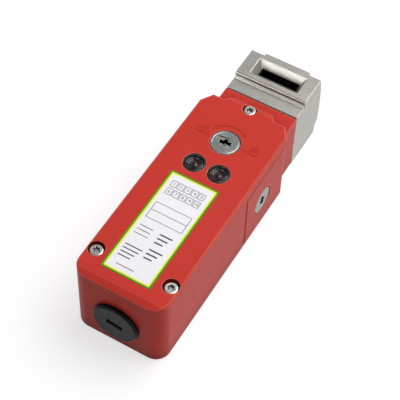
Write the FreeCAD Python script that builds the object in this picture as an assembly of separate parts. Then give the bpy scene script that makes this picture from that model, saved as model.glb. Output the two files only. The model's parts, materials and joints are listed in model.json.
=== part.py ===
import FreeCAD, Part
import math
import os

# Tongue interlock switch with guard locking, in millimetres.
# Working frame: X across the switch, Y from the plug end towards the head, Z up from the mounting back.
# Every node is shifted at the end so that the origin is the centre of the four mounting holes on the back.
# The stored state is: no tongue in the head, lock rod drawn back out of the cam, both releases at LOCK.

V = FreeCAD.Vector
X, Y, Z = V(1, 0, 0), V(0, 1, 0), V(0, 0, 1)

# ---------------------------------------------------------------- driving dimensions
# Case: housing, lid and neck
case_w = 50.8            # width over the housing
case_len = 131.5         # from the plug end to the end of the wide case
case_h = 41.0            # height of the housing, up to the parting line
lid_h = 6.0              # height of the lid above the parting line
wall = 3.5               # side wall of the housing
floor_t = 4.0            # floor of the housing
lid_t = 3.0              # top skin of the lid
corner_r = 8.0           # upright corners at the plug end
base_edge_r = 1.2        # edge between the sides and the back
lid_edge = 0.7           # bevel round the top of the lid
seam_edge = 0.3          # bevel of the lid along the parting line
end_chamfer_y = 3.4      # lid chamfer over the plug end, along the case
end_chamfer_z = 1.6      # the same chamfer, down the end face
cut_x = 5.6              # cut corners at the head end, across
cut_y = 9.0              # cut corners at the head end, along
shoulder_back = 2.3      # lid shoulders, short of the end of the wide case
tab_w = 25.0             # tab round the third screw, width
tab_len = 3.1            # tab, past the end of the wide case
tab_flare = 4.4          # tab, slope of each side
tab_slope_y = 4.2        # the tab's sloping end, along the case
tab_slope_z = 3.0        # the same slope, downwards
neck_h = 38.4
neck_len = 11.4          # from the wide case to the head gasket
partition_y = 8.5        # solid part of the case in front of the neck
pad_len = 48.0           # raised panel round the side release
pad_t = 0.3
pad_inset = 1.0          # panel, below the parting line
pad_z = 2.5              # panel, above the back

# Mounting
mount_inset = 8.4        # mounting holes, from the sides of the case
mount_dy = 70.0          # mounting holes, along
mount_y0 = 22.0          # first pair of mounting holes from the plug end
mount_r = 2.75           # clearance for an M5 screw
mount_boss_r = 5.0       # seat for the screw head
mount_boss_h = 1.0

# Axis that the lock rod, the cam and the solenoid share
axis_z = 21.0

# Conduit entry and its blanking plug
entry_z = 20.0
entry_r = 10.0           # M20
entry_boss_r = 13.5
entry_boss_len = 6.0
plug_r = 12.6
plug_t = 2.4
plug_thread_len = 8.5
plug_slot_l = 9.2
plug_slot_w = 1.8
plug_slot_deep = 1.5
plug_slot_turn = 8.0     # degrees, where the plug came to rest

# Lid screws, M4 pan heads in deep counterbores
lid_screw_inset = 4.6    # from the side of the case to the first two screws
lid_screw_y = 16.0
tab_screw_back = 1.7     # third screw, from the end of the wide case
screw_r = 2.0
screw_head_r = 3.75
tab_head_r = 3.4         # the third screw has a smaller head
screw_head_h = 2.4
screw_head_round = 0.9
lobe_at = 1.5            # six-lobed recess: centre to each lobe
lobe_r = 0.5
lobe_deep = 1.6
screw_len = 11.5
lid_bore_r = 4.3
lid_bore_depth = 3.9
tab_bore_r = 3.8
tab_bore_depth = 3.4
pillar_r = 4.4
insert_r = 2.45
insert_len = 9.0

# Lid gasket in a groove of the rim
gasket_w = 1.4
gasket_deep = 1.2
gasket_inset = 0.7       # from the outside of the case to the groove

# Indicator windows
led_x = 7.0
led_y = 84.8
led_r = 5.95             # bezel
led_lens_r = 3.9
led_cone = 0.9           # the bezel's cone, wider than the lens at the top
led_flange_t = 0.8
led_sink = 0.1           # bezel, below the top of the lid
led_lens_sink = 0.8      # rim of the lens, below the top of the lid
led_dome_r = 13.0        # lens, radius of its crown
led_barrel = 5.5         # from the top of the lid to the foot of the bezel
lamp_r = 2.5
lamp_gap = 0.7           # lamp to bezel foot

# Manual releases: a flush disc outside and an eccentric pin inside
release_r = 7.65
release_gap = 0.3
release_t = 2.8
release_sink = 0.15
release_bearing = 9.0    # from the outer face to the end of the spindle's bearing
release_crank_at = 15.0  # from the outer face to the crank's outer side
release_spring_t = 0.5   # overload spring between a crank pin and the yoke
release_spring_gap = 0.2 # the same spring, short of the turned pin
release_spring_half = 5.2
release_peg_r = 0.5      # peg of the yoke that carries the spring
release_peg_head_r = 0.8
release_peg_off = 2.4    # side release: peg to the middle of its spring, clear of the pin
release_arm_r = 4.7      # throw of the eccentric pin
release_pin_r = 1.5
release_crank_r = 6.3
release_crank_t = 2.0
release_crank_w = 6.4
release_boss_wall = 1.6  # wall round the disc's recess
release_boss_t = 2.4     # and behind it
bearing_wall = 3.0       # wall round the spindle
spindle_r = 3.0
key_l = 6.3              # cross socket, long bar
key_w = 1.6
key_cross_l = 3.7        # cross socket, short bar
key_cross_w = 1.9
key_deep = 2.4
top_release_y = 104.0
side_release_y = 99.6

# Head
gasket_t = 0.8
gasket_step = 0.6        # the head gasket is smaller than the neck all round
head_w = 42.0
head_h = 42.0
head_len = 27.0          # from the gasket to the top edge of the end face
band_len = 8.8           # lower band behind the head block
band_h = 38.3
lip_h = 1.9              # rounded lip of the block over the band
lip_r = 1.4              # round of the lip's upper edge
lip_groove = 0.5
bow = 3.1                # how far the end face bulges low down
bow_mid_z = 22.0         # middle of the bulge
slot_l = 22.4            # tongue slots
slot_t = 4.9
funnel_l = 28.6
funnel_t = 12.1
funnel_deep = 4.4
funnel_back = 0.9        # middle of the mouth, behind the middle of the slot
end_funnel_l = 25.4
end_funnel_t = 8.4
end_funnel_deep = 2.6
end_boss_l = 26.8
end_boss_t = 2.0
tongue_offset = 8.0      # from the cam's axis to the middle of each slot
cam_set = 11.3           # from the head gasket to the cam's axis
chamber_l = 22.8
head_screw_pitch = 30.0  # square pattern, so that the head can be turned
head_screw_r = 1.5
head_screw_head_r = 2.75
head_screw_head_h = 3.0
head_screw_seat = 23.3   # from the gasket to the underside of the heads
head_insert_r = 2.0
head_insert_len = 8.0
head_hole_len = 14.0     # room for the screws' ends behind the inserts
retainer_t = 1.4
retainer_w = 34.0
retainer_h = 26.0
retainer_screw_r = 1.0   # M2
retainer_screw_l = 6.0
retainer_head_r = 1.8
retainer_head_h = 0.7

# Cam
cam_r = 9.3
cam_t = 8.0
cam_pin_r = 2.0
cam_pin_l = 28.4
cam_hub_r = 4.2
running = 0.04           # radial clearance of a running fit
cam_turn = 60.0          # degrees, tongue out to tongue in
tongue_notch_w = 5.0
tongue_notch_floor = 5.3
lock_notch_w = 4.4
lock_notch_floor = 4.7
follower_side_gap = 0.4  # sensing cam, beside the lock disc, to the chamber's wall
follower_t = 4.0
cam_clear = 0.7          # lock disc to the chamber
follower_nose_r = 2.0
follower_stroke = 5.0
follower_high = 10.5     # cam axis to the centre of the plunger's nose, tongue out
follower_gap = 0.12

# Lock rod, armature and yoke
rod_r = 4.0
rod_nose_t = 4.0
rod_nose_w = 6.4
rod_nose_l = 8.4
rod_tail_r = 2.5         # tail that screws into the armature
rod_tail_l = 6.0
rod_gap = 0.3            # rod to cam rim when drawn back
lock_stroke = 4.5
spring_room = 8.0        # solenoid to yoke, rod drawn back
yoke_t = 3.9
yoke_step = 4.4          # how far its top block stands forward of the plate
yoke_gap = 0.5           # yoke to the side release's crank
yoke_arm_l = 16.0
clip_t = 0.8
clip_r = 5.5
rod_clip_r = 5.0
guide_len = 14.0
guide_w = 7.0            # half height of the guide block
seal_wire_r = 0.9

# Sensing plunger
plunger_r = 2.5

# Solenoid
coil_y0 = 50.0
coil_len = 31.6
coil_frame_w = 24.0
coil_frame_h = 24.0
coil_frame_t = 2.0
coil_foot = 3.6
coil_foot_w = 12.0
coil_pad_w = 16.0        # pads of the housing under the feet
coil_screw_head_r = 1.8
coil_screw_l = 6.0
armature_r = 4.9
bobbin_wall = 1.0
bobbin_gap = 0.2
bobbin_flange_t = 1.6
winding_gap = 0.4        # winding to solenoid frame
pole_len = 8.7
air_gap = 0.3
spring_wire_r = 0.4
spring_r = 6.6
m3_r = 1.5
m3_head_r = 2.75
m3_head_h = 1.9
m3_slot_w = 0.7

# Contact blocks
block_l = 16.0
block_h = 21.0
block_mid_gap = 4.9      # middle of the case to each block
block_side_gap = 3.0     # block to side wall
block_wall = 1.5
block_front = 0.5        # gap to the partition
stem_r = 2.0
carrier_t = 2.5
carrier_gap = 0.2        # carrier to the walls of its pocket
contact_spring_r = 2.2
contact_wire_r = 0.35
contact_spring_drop = 6.0  # below the rods' axis
bridge_t = 0.8
bridge_h = 3.0
contact_levels = (4.5, 10.0)

# Terminals and circuit board
terminals = 10
terminal_side_gap = 2.5  # terminal block to side wall
terminal_y0 = 28.0
terminal_l = 16.0
terminal_h = 15.0
terminal_screw_r = 1.45
terminal_mid = 9.0       # clamp screws, from the back of the block
terminal_head_h = 1.8
wire_hole_r = 1.3
clamp_w = 3.0            # wire clamp under each terminal screw
clamp_l = 4.2
clamp_h = 6.0
clamp_t = 0.6
clamp_lift = 3.3         # above the floor of the case
clamp_thread_r = 0.95
board_t = 1.6
board_z = 35.5
board_y0 = 46.5
board_l = 40.5
board_side_gap = 0.5     # board to side wall
board_post_r = 3.0
board_screw_l = 6.5

# ---------------------------------------------------------------- derived places
top_z = case_h + lid_h
half_w = case_w / 2
neck_end = case_len + neck_len
head_y = neck_end + gasket_t
inner_w = half_w - wall
neck_w = head_w
mount_dx = case_w - 2 * mount_inset
lid_screw_x = half_w - lid_screw_inset
inner_end = case_len - partition_y
cam_y = head_y + cam_set
top_slot_y = cam_y + tongue_offset
end_slot_z = axis_z - tongue_offset
tab_screw_y = case_len - tab_screw_back
shoulder_y = case_len - shoulder_back
tab_end = case_len + tab_len
retainer_y = head_y + 0.2
rod_tip = cam_y - cam_r - rod_gap
plunger_tip = cam_y - follower_high + follower_nose_r
coil_end = coil_y0 + coil_len
winding_r = min(coil_frame_w, coil_frame_h) / 2 - coil_frame_t - winding_gap
yoke_y = coil_end + spring_room
yoke_front = yoke_y + yoke_t
side_crank_x = half_w + pad_t - release_crank_at - release_crank_t
yoke_w = 2 * (side_crank_x - yoke_gap)
block_w = inner_w - block_side_gap - block_mid_gap
block_x = block_mid_gap + block_w / 2
carrier_w = block_w - 2 * block_wall - 2 * carrier_gap
contact_spring_z = axis_z - contact_spring_drop
follower_x = chamber_l / 2 - follower_side_gap - follower_t / 2
terminal_pitch = 2 * (inner_w - terminal_side_gap) / terminals
clamp_z = floor_t + clamp_lift
board_w = 2 * (inner_w - board_side_gap)
block_y1 = inner_end - block_front
block_y0 = block_y1 - block_l
mount_mid = mount_y0 + mount_dy / 2


# ---------------------------------------------------------------- helpers
def box(x0, x1, y0, y1, z0, z1):
    return Part.makeBox(x1 - x0, y1 - y0, z1 - z0, V(x0, y0, z0))


def cyl_x(r, x0, x1, y, z):
    return Part.makeCylinder(r, x1 - x0, V(x0, y, z), X)


def cyl_y(r, y0, y1, x, z):
    return Part.makeCylinder(r, y1 - y0, V(x, y0, z), Y)


def cyl_z(r, z0, z1, x, y):
    return Part.makeCylinder(r, z1 - z0, V(x, y, z0), Z)


def polygon(points):
    return Part.Face(Part.makePolygon(points + [points[0]]))


def prism_z(points, z0, z1):
    face = polygon([V(x, y, z0) for x, y in points])
    return face.extrude(V(0, 0, z1 - z0))


def prism_x(points, x0, x1):
    face = polygon([V(x0, y, z) for y, z in points])
    return face.extrude(V(x1 - x0, 0, 0))


def funnel(start, end):
    """A four-sided funnel between two rectangles, each given by its centre, length along X and other edge."""
    wires = []
    for centre, length, edge in (start, end):
        half = V(length / 2, 0, 0)
        side = edge * 0.5
        points = [centre - half - side, centre + half - side, centre + half + side, centre - half + side]
        wires.append(Part.makePolygon(points + [points[0]]))
    return Part.makeLoft(wires, True, True)


def torus(r, wire_r, centre, axis):
    return Part.makeTorus(r, wire_r, centre, axis)


def ring(outer, inner, length, base, axis):
    outside = Part.makeCylinder(outer, length, base, axis)
    return outside.cut(Part.makeCylinder(inner, length, base, axis))


def mirror_x(shape):
    return shape.mirror(V(0, 0, 0), X)


def both_sides(shape):
    return Part.makeCompound([shape, mirror_x(shape)])


def upright_edges(shape, test):
    """The edges along Z whose middle passes the test."""
    found = []
    for edge in shape.Edges:
        a, b = edge.Vertexes[0].Point, edge.Vertexes[-1].Point
        if abs(a.x - b.x) < 1e-6 and abs(a.y - b.y) < 1e-6 and test(a):
            found.append(edge)
    return found


def spring(r, wire_r, y0, y1, x, z, turns):
    """A closed compression spring along Y, as a stack of rings on one sleeve of coils."""
    pitch = (y1 - y0 - 2 * wire_r) / (turns - 1)
    coils = [torus(r, wire_r, V(x, y0 + wire_r + pitch * n, z), Y) for n in range(turns)]
    spine = ring(r + wire_r / 3, r - wire_r / 3, y1 - y0 - 2 * wire_r, V(x, y0 + wire_r, z), Y)
    return coils[0].fuse(coils[1:] + [spine])


# ---------------------------------------------------------------- outlines of the case
def case_outline(inset, end):
    """Plan of the case, inset from its sides and cut off at the given end."""
    w = half_w - inset
    slant = inset * (math.hypot(cut_x, cut_y) - cut_y) / cut_x
    front = end - cut_y * (end - inset - (case_len - cut_y)) / cut_y
    turn_y = case_len - cut_y - slant
    narrow = w - cut_x * (end - turn_y) / cut_y
    return [(-w, inset), (w, inset), (w, turn_y), (narrow, end), (-narrow, end), (-w, turn_y)]


def case_prism(inset, end, z0, z1):
    solid = prism_z(case_outline(inset, end), z0, z1)
    corners = upright_edges(solid, lambda p: p.y < inset + 0.01)
    return solid.makeFillet(max(corner_r - inset, 1.0), corners)


# ---------------------------------------------------------------- housing and lid
def housing():
    body = case_prism(0, case_len, 0, case_h)
    body = body.fuse(box(-neck_w / 2, neck_w / 2, inner_end, neck_end, 0, neck_h)).removeSplitter()
    low = [e for e in body.Edges if e.BoundBox.ZMax < 0.01]
    body = body.makeFillet(base_edge_r, low)
    body = body.cut(case_prism(wall, inner_end, floor_t, case_h))
    # boss for the third lid screw, between the wide case and the neck
    t = tab_w / 2
    wide, narrow = t + tab_flare / 2, t - tab_flare / 2
    tab_boss = prism_z([(-wide, shoulder_y), (wide, shoulder_y), (narrow, tab_end), (-narrow, tab_end)],
                       case_h / 2, case_h)
    body = body.fuse(tab_boss)
    # raised panel on the side release's wall
    pad_y1 = case_len - cut_y - 1.0
    pad_y0 = pad_y1 - pad_len + cut_y
    body = body.fuse(box(half_w - 1, half_w + pad_t, pad_y0, pad_y1, pad_z, case_h - pad_inset))
    # pillars for the two lid screws at the plug end, joined to the side walls
    for side in (-1, 1):
        body = body.fuse(cyl_z(pillar_r, floor_t, case_h, side * lid_screw_x, lid_screw_y))
    body = body.common(case_prism(0, case_len, 0, case_h).fuse(
        [box(-neck_w / 2, neck_w / 2, inner_end, neck_end, 0, neck_h), tab_boss,
         box(0, half_w + pad_t, wall, case_len - cut_y, pad_z - 1.0, case_h)]))
    # posts for the circuit board, pads for the solenoid, seats for the mounting screws
    for side in (-1, 1):
        for y in board_post_places():
            body = body.fuse(cyl_z(board_post_r, floor_t - 1, board_z, side * board_post_x(), y))
        for y in (mount_y0, mount_y0 + mount_dy):
            body = body.fuse(cyl_z(mount_boss_r, floor_t - 1, floor_t + mount_boss_h, side * mount_dx / 2, y))
    coil_floor = axis_z - coil_frame_h / 2
    for y0, y1 in ((coil_y0 - coil_foot, coil_y0 + 4), (coil_end - 4, coil_end + coil_foot)):
        body = body.fuse(box(-coil_pad_w / 2, coil_pad_w / 2, y0, y1, floor_t - 1, coil_floor))
    # conduit entry and the bearing of the side release
    body = body.fuse(cyl_y(entry_boss_r, wall - 1, wall + entry_boss_len, 0, entry_z))
    boss_end = half_w + pad_t - release_t - release_boss_t
    boss = cyl_x(release_r + release_boss_wall, boss_end, half_w - 0.5, side_release_y, axis_z)
    boss = boss.fuse(cyl_x(spindle_r + bearing_wall, release_bearing_end(), inner_w, side_release_y, axis_z))
    body = body.fuse(boss)
    cuts = [cyl_y(entry_r, -1, wall + entry_boss_len + 1, 0, entry_z)]
    cuts += release_cuts_side()
    for side in (-1, 1):
        for y in (mount_y0, mount_y0 + mount_dy):
            cuts.append(cyl_z(mount_r, -1, floor_t + mount_boss_h + 1, side * mount_dx / 2, y))
        cuts.append(cyl_z(insert_r, case_h - insert_len - 2, case_h + 1, side * lid_screw_x, lid_screw_y))
        for y in board_post_places():
            cuts.append(cyl_z(m3_r, board_z - board_screw_l, board_z + 1, side * board_post_x(), y))
        for z in head_screw_levels():
            x = side * head_screw_pitch / 2
            cuts.append(cyl_y(head_insert_r, neck_end - head_insert_len, neck_end + 1, x, z))
            cuts.append(cyl_y(head_screw_r + 0.2, neck_end - head_hole_len, neck_end, x, z))
    cuts.append(cyl_z(insert_r, case_h - insert_len - 2, case_h + 1, 0, tab_screw_y))
    for y in (coil_y0 - coil_foot / 2, coil_end + coil_foot / 2):
        cuts.append(cyl_z(m3_r, floor_t - 1.5, coil_floor + 1, 0, y))
    cuts.append(guide_block(0.0))
    cuts.append(cyl_y(rod_r + 1.2, inner_end - 1, neck_end + 1, 0, axis_z))
    cuts.append(cyl_y(plunger_r + 0.8, inner_end - 1, neck_end + 1, follower_x, axis_z))
    cuts.append(gasket_ring(0.0))
    return body.cut(cuts)


def board_post_places():
    return (board_y0 + 5.5, board_y0 + board_l - 5.0)


def board_post_x():
    return inner_w - board_post_r


def head_screw_levels():
    return (axis_z - head_screw_pitch / 2, axis_z + head_screw_pitch / 2)


def gasket_ring(clearance):
    """The rim groove; with a clearance, the cord that lies in it."""
    z0 = case_h - gasket_deep + clearance
    end = inner_end + gasket_inset + gasket_w + 1.2
    outside = case_prism(gasket_inset + clearance, end - clearance, z0, case_h)
    inside = case_prism(gasket_inset + gasket_w - clearance, end - gasket_w + clearance, z0, case_h)
    return outside.cut(inside)


def lid_gasket():
    return gasket_ring(0.05)


def lid():
    body = prism_z(lid_plan(), case_h, top_z)
    corners = upright_edges(body, lambda p: p.y < 0.01)
    body = body.makeFillet(corner_r, corners)
    rim = [e for e in body.Edges if e.BoundBox.ZMin > top_z - 0.01 and e.BoundBox.YMax > corner_r]
    body = body.makeChamfer(lid_edge, rim)
    seam = [e for e in body.Edges if e.BoundBox.ZMax < case_h + 0.01]
    body = body.makeChamfer(seam_edge, seam)
    wedge = prism_x([(-1, top_z + 1), (-1, top_z - end_chamfer_z - 1), (0, top_z - end_chamfer_z),
                     (end_chamfer_y, top_z), (end_chamfer_y, top_z + 1)], -half_w, half_w)
    slope = prism_x([(tab_end - tab_slope_y, top_z), (tab_end + 1, top_z), (tab_end + 1, top_z - tab_slope_z),
                     (tab_end, top_z - tab_slope_z)], -half_w, half_w)
    body = body.cut([wedge, slope])
    hollow = case_prism(wall, inner_end, case_h - 1, top_z - lid_t)
    body = body.cut(hollow)
    adds, cuts = [], []
    inside = case_prism(lid_edge, inner_end + gasket_w, case_h, top_z)
    for x, y, head_r, r, depth in lid_screw_places():
        boss = cyl_z(r + 1.2, case_h, top_z - lid_t + 0.5, x, y)
        adds.append(boss.common(inside) if y < tab_screw_y else boss.common(body.fuse(hollow)))
        cuts.append(cyl_z(r, top_z - depth, top_z + 1, x, y))
        cuts.append(cyl_z(screw_r + 0.25, case_h - 1, top_z, x, y))
    boss_r, bearing_r = release_r + release_boss_wall, spindle_r + bearing_wall
    adds.append(cyl_z(boss_r, top_z - release_t - release_boss_t, top_z - 1, 0, top_release_y))
    adds.append(cyl_z(bearing_r, top_z - release_bearing, top_z - lid_t, 0, top_release_y))
    for side in (-1, 1):
        cuts.append(cyl_z(led_r, top_z - led_flange_t, top_z + 1, side * led_x, led_y))
        cuts.append(cyl_z(led_lens_r + 0.8, top_z - lid_t - 1, top_z, side * led_x, led_y))
    cuts += release_cuts_top()
    return body.fuse(adds).cut(cuts)


def lid_plan():
    """The lid's outline: cut corners, shoulders and the tab round the third screw."""
    edge = case_len - cut_y
    shoulder_x = half_w - cut_x * (shoulder_y - edge) / cut_y
    t = tab_w / 2
    right = [(half_w, 0), (half_w, edge), (shoulder_x, shoulder_y), (t + tab_flare / 2, shoulder_y),
             (t - tab_flare / 2, tab_end)]
    return right + [(-x, y) for x, y in reversed(right)]


def lid_screw_places():
    """Place, head radius, counterbore radius and counterbore depth of each lid screw."""
    return [(-lid_screw_x, lid_screw_y, screw_head_r, lid_bore_r, lid_bore_depth),
            (lid_screw_x, lid_screw_y, screw_head_r, lid_bore_r, lid_bore_depth),
            (0, tab_screw_y, tab_head_r, tab_bore_r, tab_bore_depth)]


def pan_screw(x, y, head_r, seat):
    """M4 pan-head screw with a six-lobed recess, head up, the underside of its head at the seat."""
    top = seat + screw_head_h
    head = cyl_z(head_r, seat, top, x, y)
    rim = [e for e in head.Edges if e.BoundBox.ZMin > top - 0.01 and e.Closed]
    head = head.makeFillet(screw_head_round, rim)
    shank = cyl_z(screw_r, seat - screw_len, seat, x, y)
    recess = [cyl_z(lobe_at, top - lobe_deep, top + 1, x, y)]
    for n in range(6):
        turn = math.radians(60 * n)
        recess.append(cyl_z(lobe_r, top - lobe_deep, top + 1, x + lobe_at * math.cos(turn),
                            y + lobe_at * math.sin(turn)))
    return head.fuse(shank).cut(recess)


def lid_screws():
    return Part.makeCompound([pan_screw(x, y, head_r, top_z - depth)
                              for x, y, head_r, _, depth in lid_screw_places()])


def lid_inserts():
    rings = [ring(insert_r, screw_r, insert_len, V(place[0], place[1], case_h - insert_len - 0.1), Z)
             for place in lid_screw_places()]
    return Part.makeCompound(rings)


# ---------------------------------------------------------------- conduit plug
def conduit_plug():
    flange = cyl_y(plug_r, -plug_t, 0, 0, entry_z)
    rim = [e for e in flange.Edges if e.Closed and e.BoundBox.YMax < -plug_t + 0.01]
    flange = flange.makeFillet(0.9, rim)
    thread = cyl_y(entry_r - 0.05, 0, plug_thread_len, 0, entry_z)
    hollow = cyl_y(entry_r - 2.5, 1.0, plug_thread_len + 1, 0, entry_z)
    seal_seat = ring(entry_r + 1.8, entry_r - 0.05, 1.1, V(0, -1.1, entry_z), Y)
    slot = box(-plug_slot_l / 2, plug_slot_l / 2, -plug_t - 1, -plug_t + plug_slot_deep,
               entry_z - plug_slot_w / 2, entry_z + plug_slot_w / 2)
    slot.rotate(V(0, 0, entry_z), Y, -plug_slot_turn)
    return flange.fuse(thread).cut([hollow, seal_seat, slot])


def conduit_plug_seal():
    return ring(entry_r + 1.7, entry_r + 0.05, 1.0, V(0, -1.0, entry_z), Y)


# ---------------------------------------------------------------- indicator windows
def led_bezel(side):
    x = side * led_x
    flange = cyl_z(led_r - 0.05, top_z - led_flange_t, top_z - led_sink, x, led_y)
    barrel = cyl_z(led_lens_r + 0.75, top_z - led_barrel, top_z - led_flange_t, x, led_y)
    bore = cyl_z(led_lens_r + 0.05, top_z - led_barrel - 1, top_z + 1, x, led_y)
    foot = V(x, led_y, top_z - led_lens_sink)
    cone = Part.makeCone(led_lens_r + 0.05, led_lens_r + led_cone, led_lens_sink - led_sink, foot, Z)
    return flange.fuse(barrel).cut([bore, cone])


def led_lens(side):
    x = side * led_x
    rim_z = top_z - led_lens_sink
    barrel = cyl_z(led_lens_r, top_z - led_barrel + 0.5, rim_z, x, led_y)
    rise = led_dome_r - math.sqrt(led_dome_r ** 2 - led_lens_r ** 2)
    dome = Part.makeSphere(led_dome_r, V(x, led_y, rim_z + rise - led_dome_r))
    dome = dome.common(cyl_z(led_lens_r, rim_z, top_z, x, led_y))
    socket = cyl_z(lamp_r + 0.4, top_z - led_barrel, top_z - lid_t - 0.4, x, led_y)
    return barrel.fuse(dome).removeSplitter().cut(socket)


def led_lamp(side):
    x = side * led_x
    z0 = board_z + board_t
    lamp = cyl_z(lamp_r, z0, top_z - led_barrel - lamp_gap, x, led_y)
    top = [e for e in lamp.Edges if e.Closed and e.BoundBox.ZMin > z0 + 1]
    return lamp.makeFillet(lamp_r - 0.1, top)


# ---------------------------------------------------------------- manual releases
def release_bearing_end():
    return half_w + pad_t - release_bearing


def release_solid(pin_reach, key_turn):
    """A release along +Z with its outer face at z = 0, its crank pin towards +Y."""
    disc = cyl_z(release_r, -release_t, -release_sink, 0, 0)
    rim = [e for e in disc.Edges if e.Closed and e.BoundBox.ZMin > -release_sink - 0.01]
    disc = disc.makeChamfer(0.3, rim)
    spindle = cyl_z(spindle_r, -release_crank_at, -release_t, 0, 0)
    crank = cyl_z(release_crank_r, -release_crank_at - release_crank_t, -release_crank_at, 0, 0)
    w = release_crank_w / 2
    crank = crank.common(box(-w, w, -w, release_crank_r, -release_crank_at - release_crank_t, 0))
    pin = cyl_z(release_pin_r, -pin_reach, -release_crank_at - release_crank_t, 0, release_arm_r)
    body = disc.fuse([spindle, crank, pin])
    bars = [box(-key_l / 2, key_l / 2, -key_w / 2, key_w / 2, -key_deep, 1),
            box(-key_cross_w / 2, key_cross_w / 2, -key_cross_l / 2, key_cross_l / 2, -key_deep, 1)]
    for bar in bars:
        bar.rotate(V(0, 0, 0), Z, key_turn)
    groove = ring(spindle_r + 1, spindle_r - 0.5, clip_t + 0.1, V(0, 0, -release_bearing - clip_t - 0.1), Z)
    return body.cut(bars + [groove])


def release_seal_solid():
    return torus(spindle_r + seal_wire_r + 0.1, seal_wire_r, V(0, 0, -release_bearing + seal_wire_r + 0.1), Z)


def release_clip_solid():
    return ring(clip_r, spindle_r - 0.5, clip_t - 0.1, V(0, 0, -release_bearing - clip_t), Z)


def release_cuts():
    """What the housing or the lid loses for a release: recess, bearing and seal seat."""
    return [cyl_z(release_r + release_gap, -release_t - 0.1, 1, 0, 0),
            cyl_z(spindle_r + running, -release_bearing - 2, 0, 0, 0),
            cyl_z(spindle_r + 2 * seal_wire_r + 0.25, -release_bearing - 1, -release_bearing + 2.0, 0, 0)]


def to_top(shape):
    shape.translate(V(0, top_release_y, top_z))
    return shape


def to_side(shape):
    shape.rotate(V(0, 0, 0), Y, 90)
    shape.translate(V(half_w + pad_t, side_release_y, axis_z))
    return shape


def release_cuts_top():
    return [to_top(s) for s in release_cuts()]


def release_cuts_side():
    return [to_side(s) for s in release_cuts()]


def top_pin_reach():
    return top_z - (axis_z + rod_r + 1.0)


def side_pin_reach():
    return half_w + pad_t - (rod_r + 1.0)


# ---------------------------------------------------------------- head
def head_profile(offset):
    """Side view of the head block, from the gasket to the bowed end face."""
    y0, y1 = head_y, head_y + head_len
    yb = y0 + band_len
    line = [V(0, y1 + offset - 1.0, 0.6), V(0, y1 + offset - 0.2, 5.5)]
    bulge = Part.Arc(V(0, y1 + offset + bow - 0.8, 8.0), V(0, y1 + offset + bow * 0.8, bow_mid_z),
                     V(0, y1 + offset, head_h)).toShape()
    low = Part.makePolygon([V(0, y1 - 1.5, 0), line[0], line[1], V(0, y1 + offset + bow - 0.8, 8.0)])
    lip = head_h - lip_h
    top = Part.makePolygon([V(0, y1 + offset, head_h), V(0, yb + lip_r, head_h)])
    slant = lip_r * (1 - math.sqrt(0.5))
    lip_round = Part.Arc(V(0, yb + lip_r, head_h), V(0, yb + slant, head_h - slant),
                         V(0, yb, head_h - lip_r)).toShape()
    back = Part.makePolygon([V(0, yb, head_h - lip_r), V(0, yb, lip), V(0, yb + lip_groove, lip),
                             V(0, yb + lip_groove, lip - 0.5), V(0, yb, lip - 0.5), V(0, yb, band_h),
                             V(0, y0 + 0.4, band_h), V(0, y0, band_h - 0.4), V(0, y0, 0), V(0, y1 - 1.5, 0)])
    return Part.Wire(low.Edges + [bulge] + top.Edges + [lip_round] + back.Edges)


def head_block(half, offset):
    face = Part.Face(head_profile(offset))
    face.translate(V(-half, 0, 0))
    return face.extrude(V(2 * half, 0, 0))


def head_body():
    block = head_block(head_w / 2, 0)
    boss = head_block(end_boss_l / 2, end_boss_t).common(
        box(-half_w, half_w, head_y + head_len / 2, head_y + 2 * head_len, 5.6, head_h - 0.5))
    block = block.fuse(boss).removeSplitter()
    c = chamber_l / 2
    s = slot_l / 2
    reach = slot_t / 2
    beyond = head_y + 2 * head_len
    cuts = [box(-c, c, retainer_y + retainer_t - 0.1, top_slot_y + reach, end_slot_z - reach,
                axis_z + cam_r + cam_clear)]
    cuts.append(box(-s, s, top_slot_y - reach, top_slot_y + reach, end_slot_z, head_h + 1))
    cuts.append(box(-s, s, cam_y, beyond, end_slot_z - reach, end_slot_z + reach))
    # funnels that lead the tongue in
    cuts.append(top_funnel())
    cuts.append(end_funnel())
    # seat of the retainer, grooves for the cam pin, rod clearances
    cuts.append(box(-retainer_w / 2, retainer_w / 2, head_y - 1, retainer_y + retainer_t,
                    axis_z - retainer_h / 2, axis_z + retainer_h / 2))
    p = cam_pin_l / 2 + 0.1
    groove_r = cam_pin_r + running
    groove = box(-p, p, head_y, cam_y, axis_z - groove_r, axis_z + groove_r)
    cuts.append(groove.fuse(cyl_x(groove_r, -p, p, cam_y, axis_z)))
    for side in (-1, 1):
        for z in head_screw_levels():
            x = side * head_screw_pitch / 2
            cuts.append(cyl_y(head_screw_r + 0.15, head_y - 1, beyond, x, z))
            cuts.append(cyl_y(head_screw_head_r + 0.25, head_y + head_screw_seat, beyond, x, z))
        cuts.append(cyl_y(retainer_screw_r, retainer_y, retainer_y + retainer_screw_l + 1.0,
                          side * retainer_screw_x(), axis_z))
    return block.cut(cuts)


def top_funnel():
    """The wide mouth over the top slot, set back towards the case."""
    mouth_y = top_slot_y - funnel_back
    slope = funnel((V(0, top_slot_y, head_h - funnel_deep), slot_l, V(0, slot_t, 0)),
                   (V(0, mouth_y, head_h), funnel_l, V(0, funnel_t, 0)))
    half, reach = funnel_l / 2, funnel_t / 2
    return slope.fuse(box(-half, half, mouth_y - reach, mouth_y + reach, head_h, head_h + 1))


def end_funnel():
    """The mouth of the slot in the bowed end face."""
    face_y = head_y + head_len + bow + end_boss_t
    return funnel((V(0, face_y - end_funnel_deep, end_slot_z), slot_l, V(0, 0, slot_t)),
                  (V(0, face_y + 0.1, end_slot_z), end_funnel_l, V(0, 0, end_funnel_t)))


def retainer_screw_x():
    return retainer_w / 2 - 2.0


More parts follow.
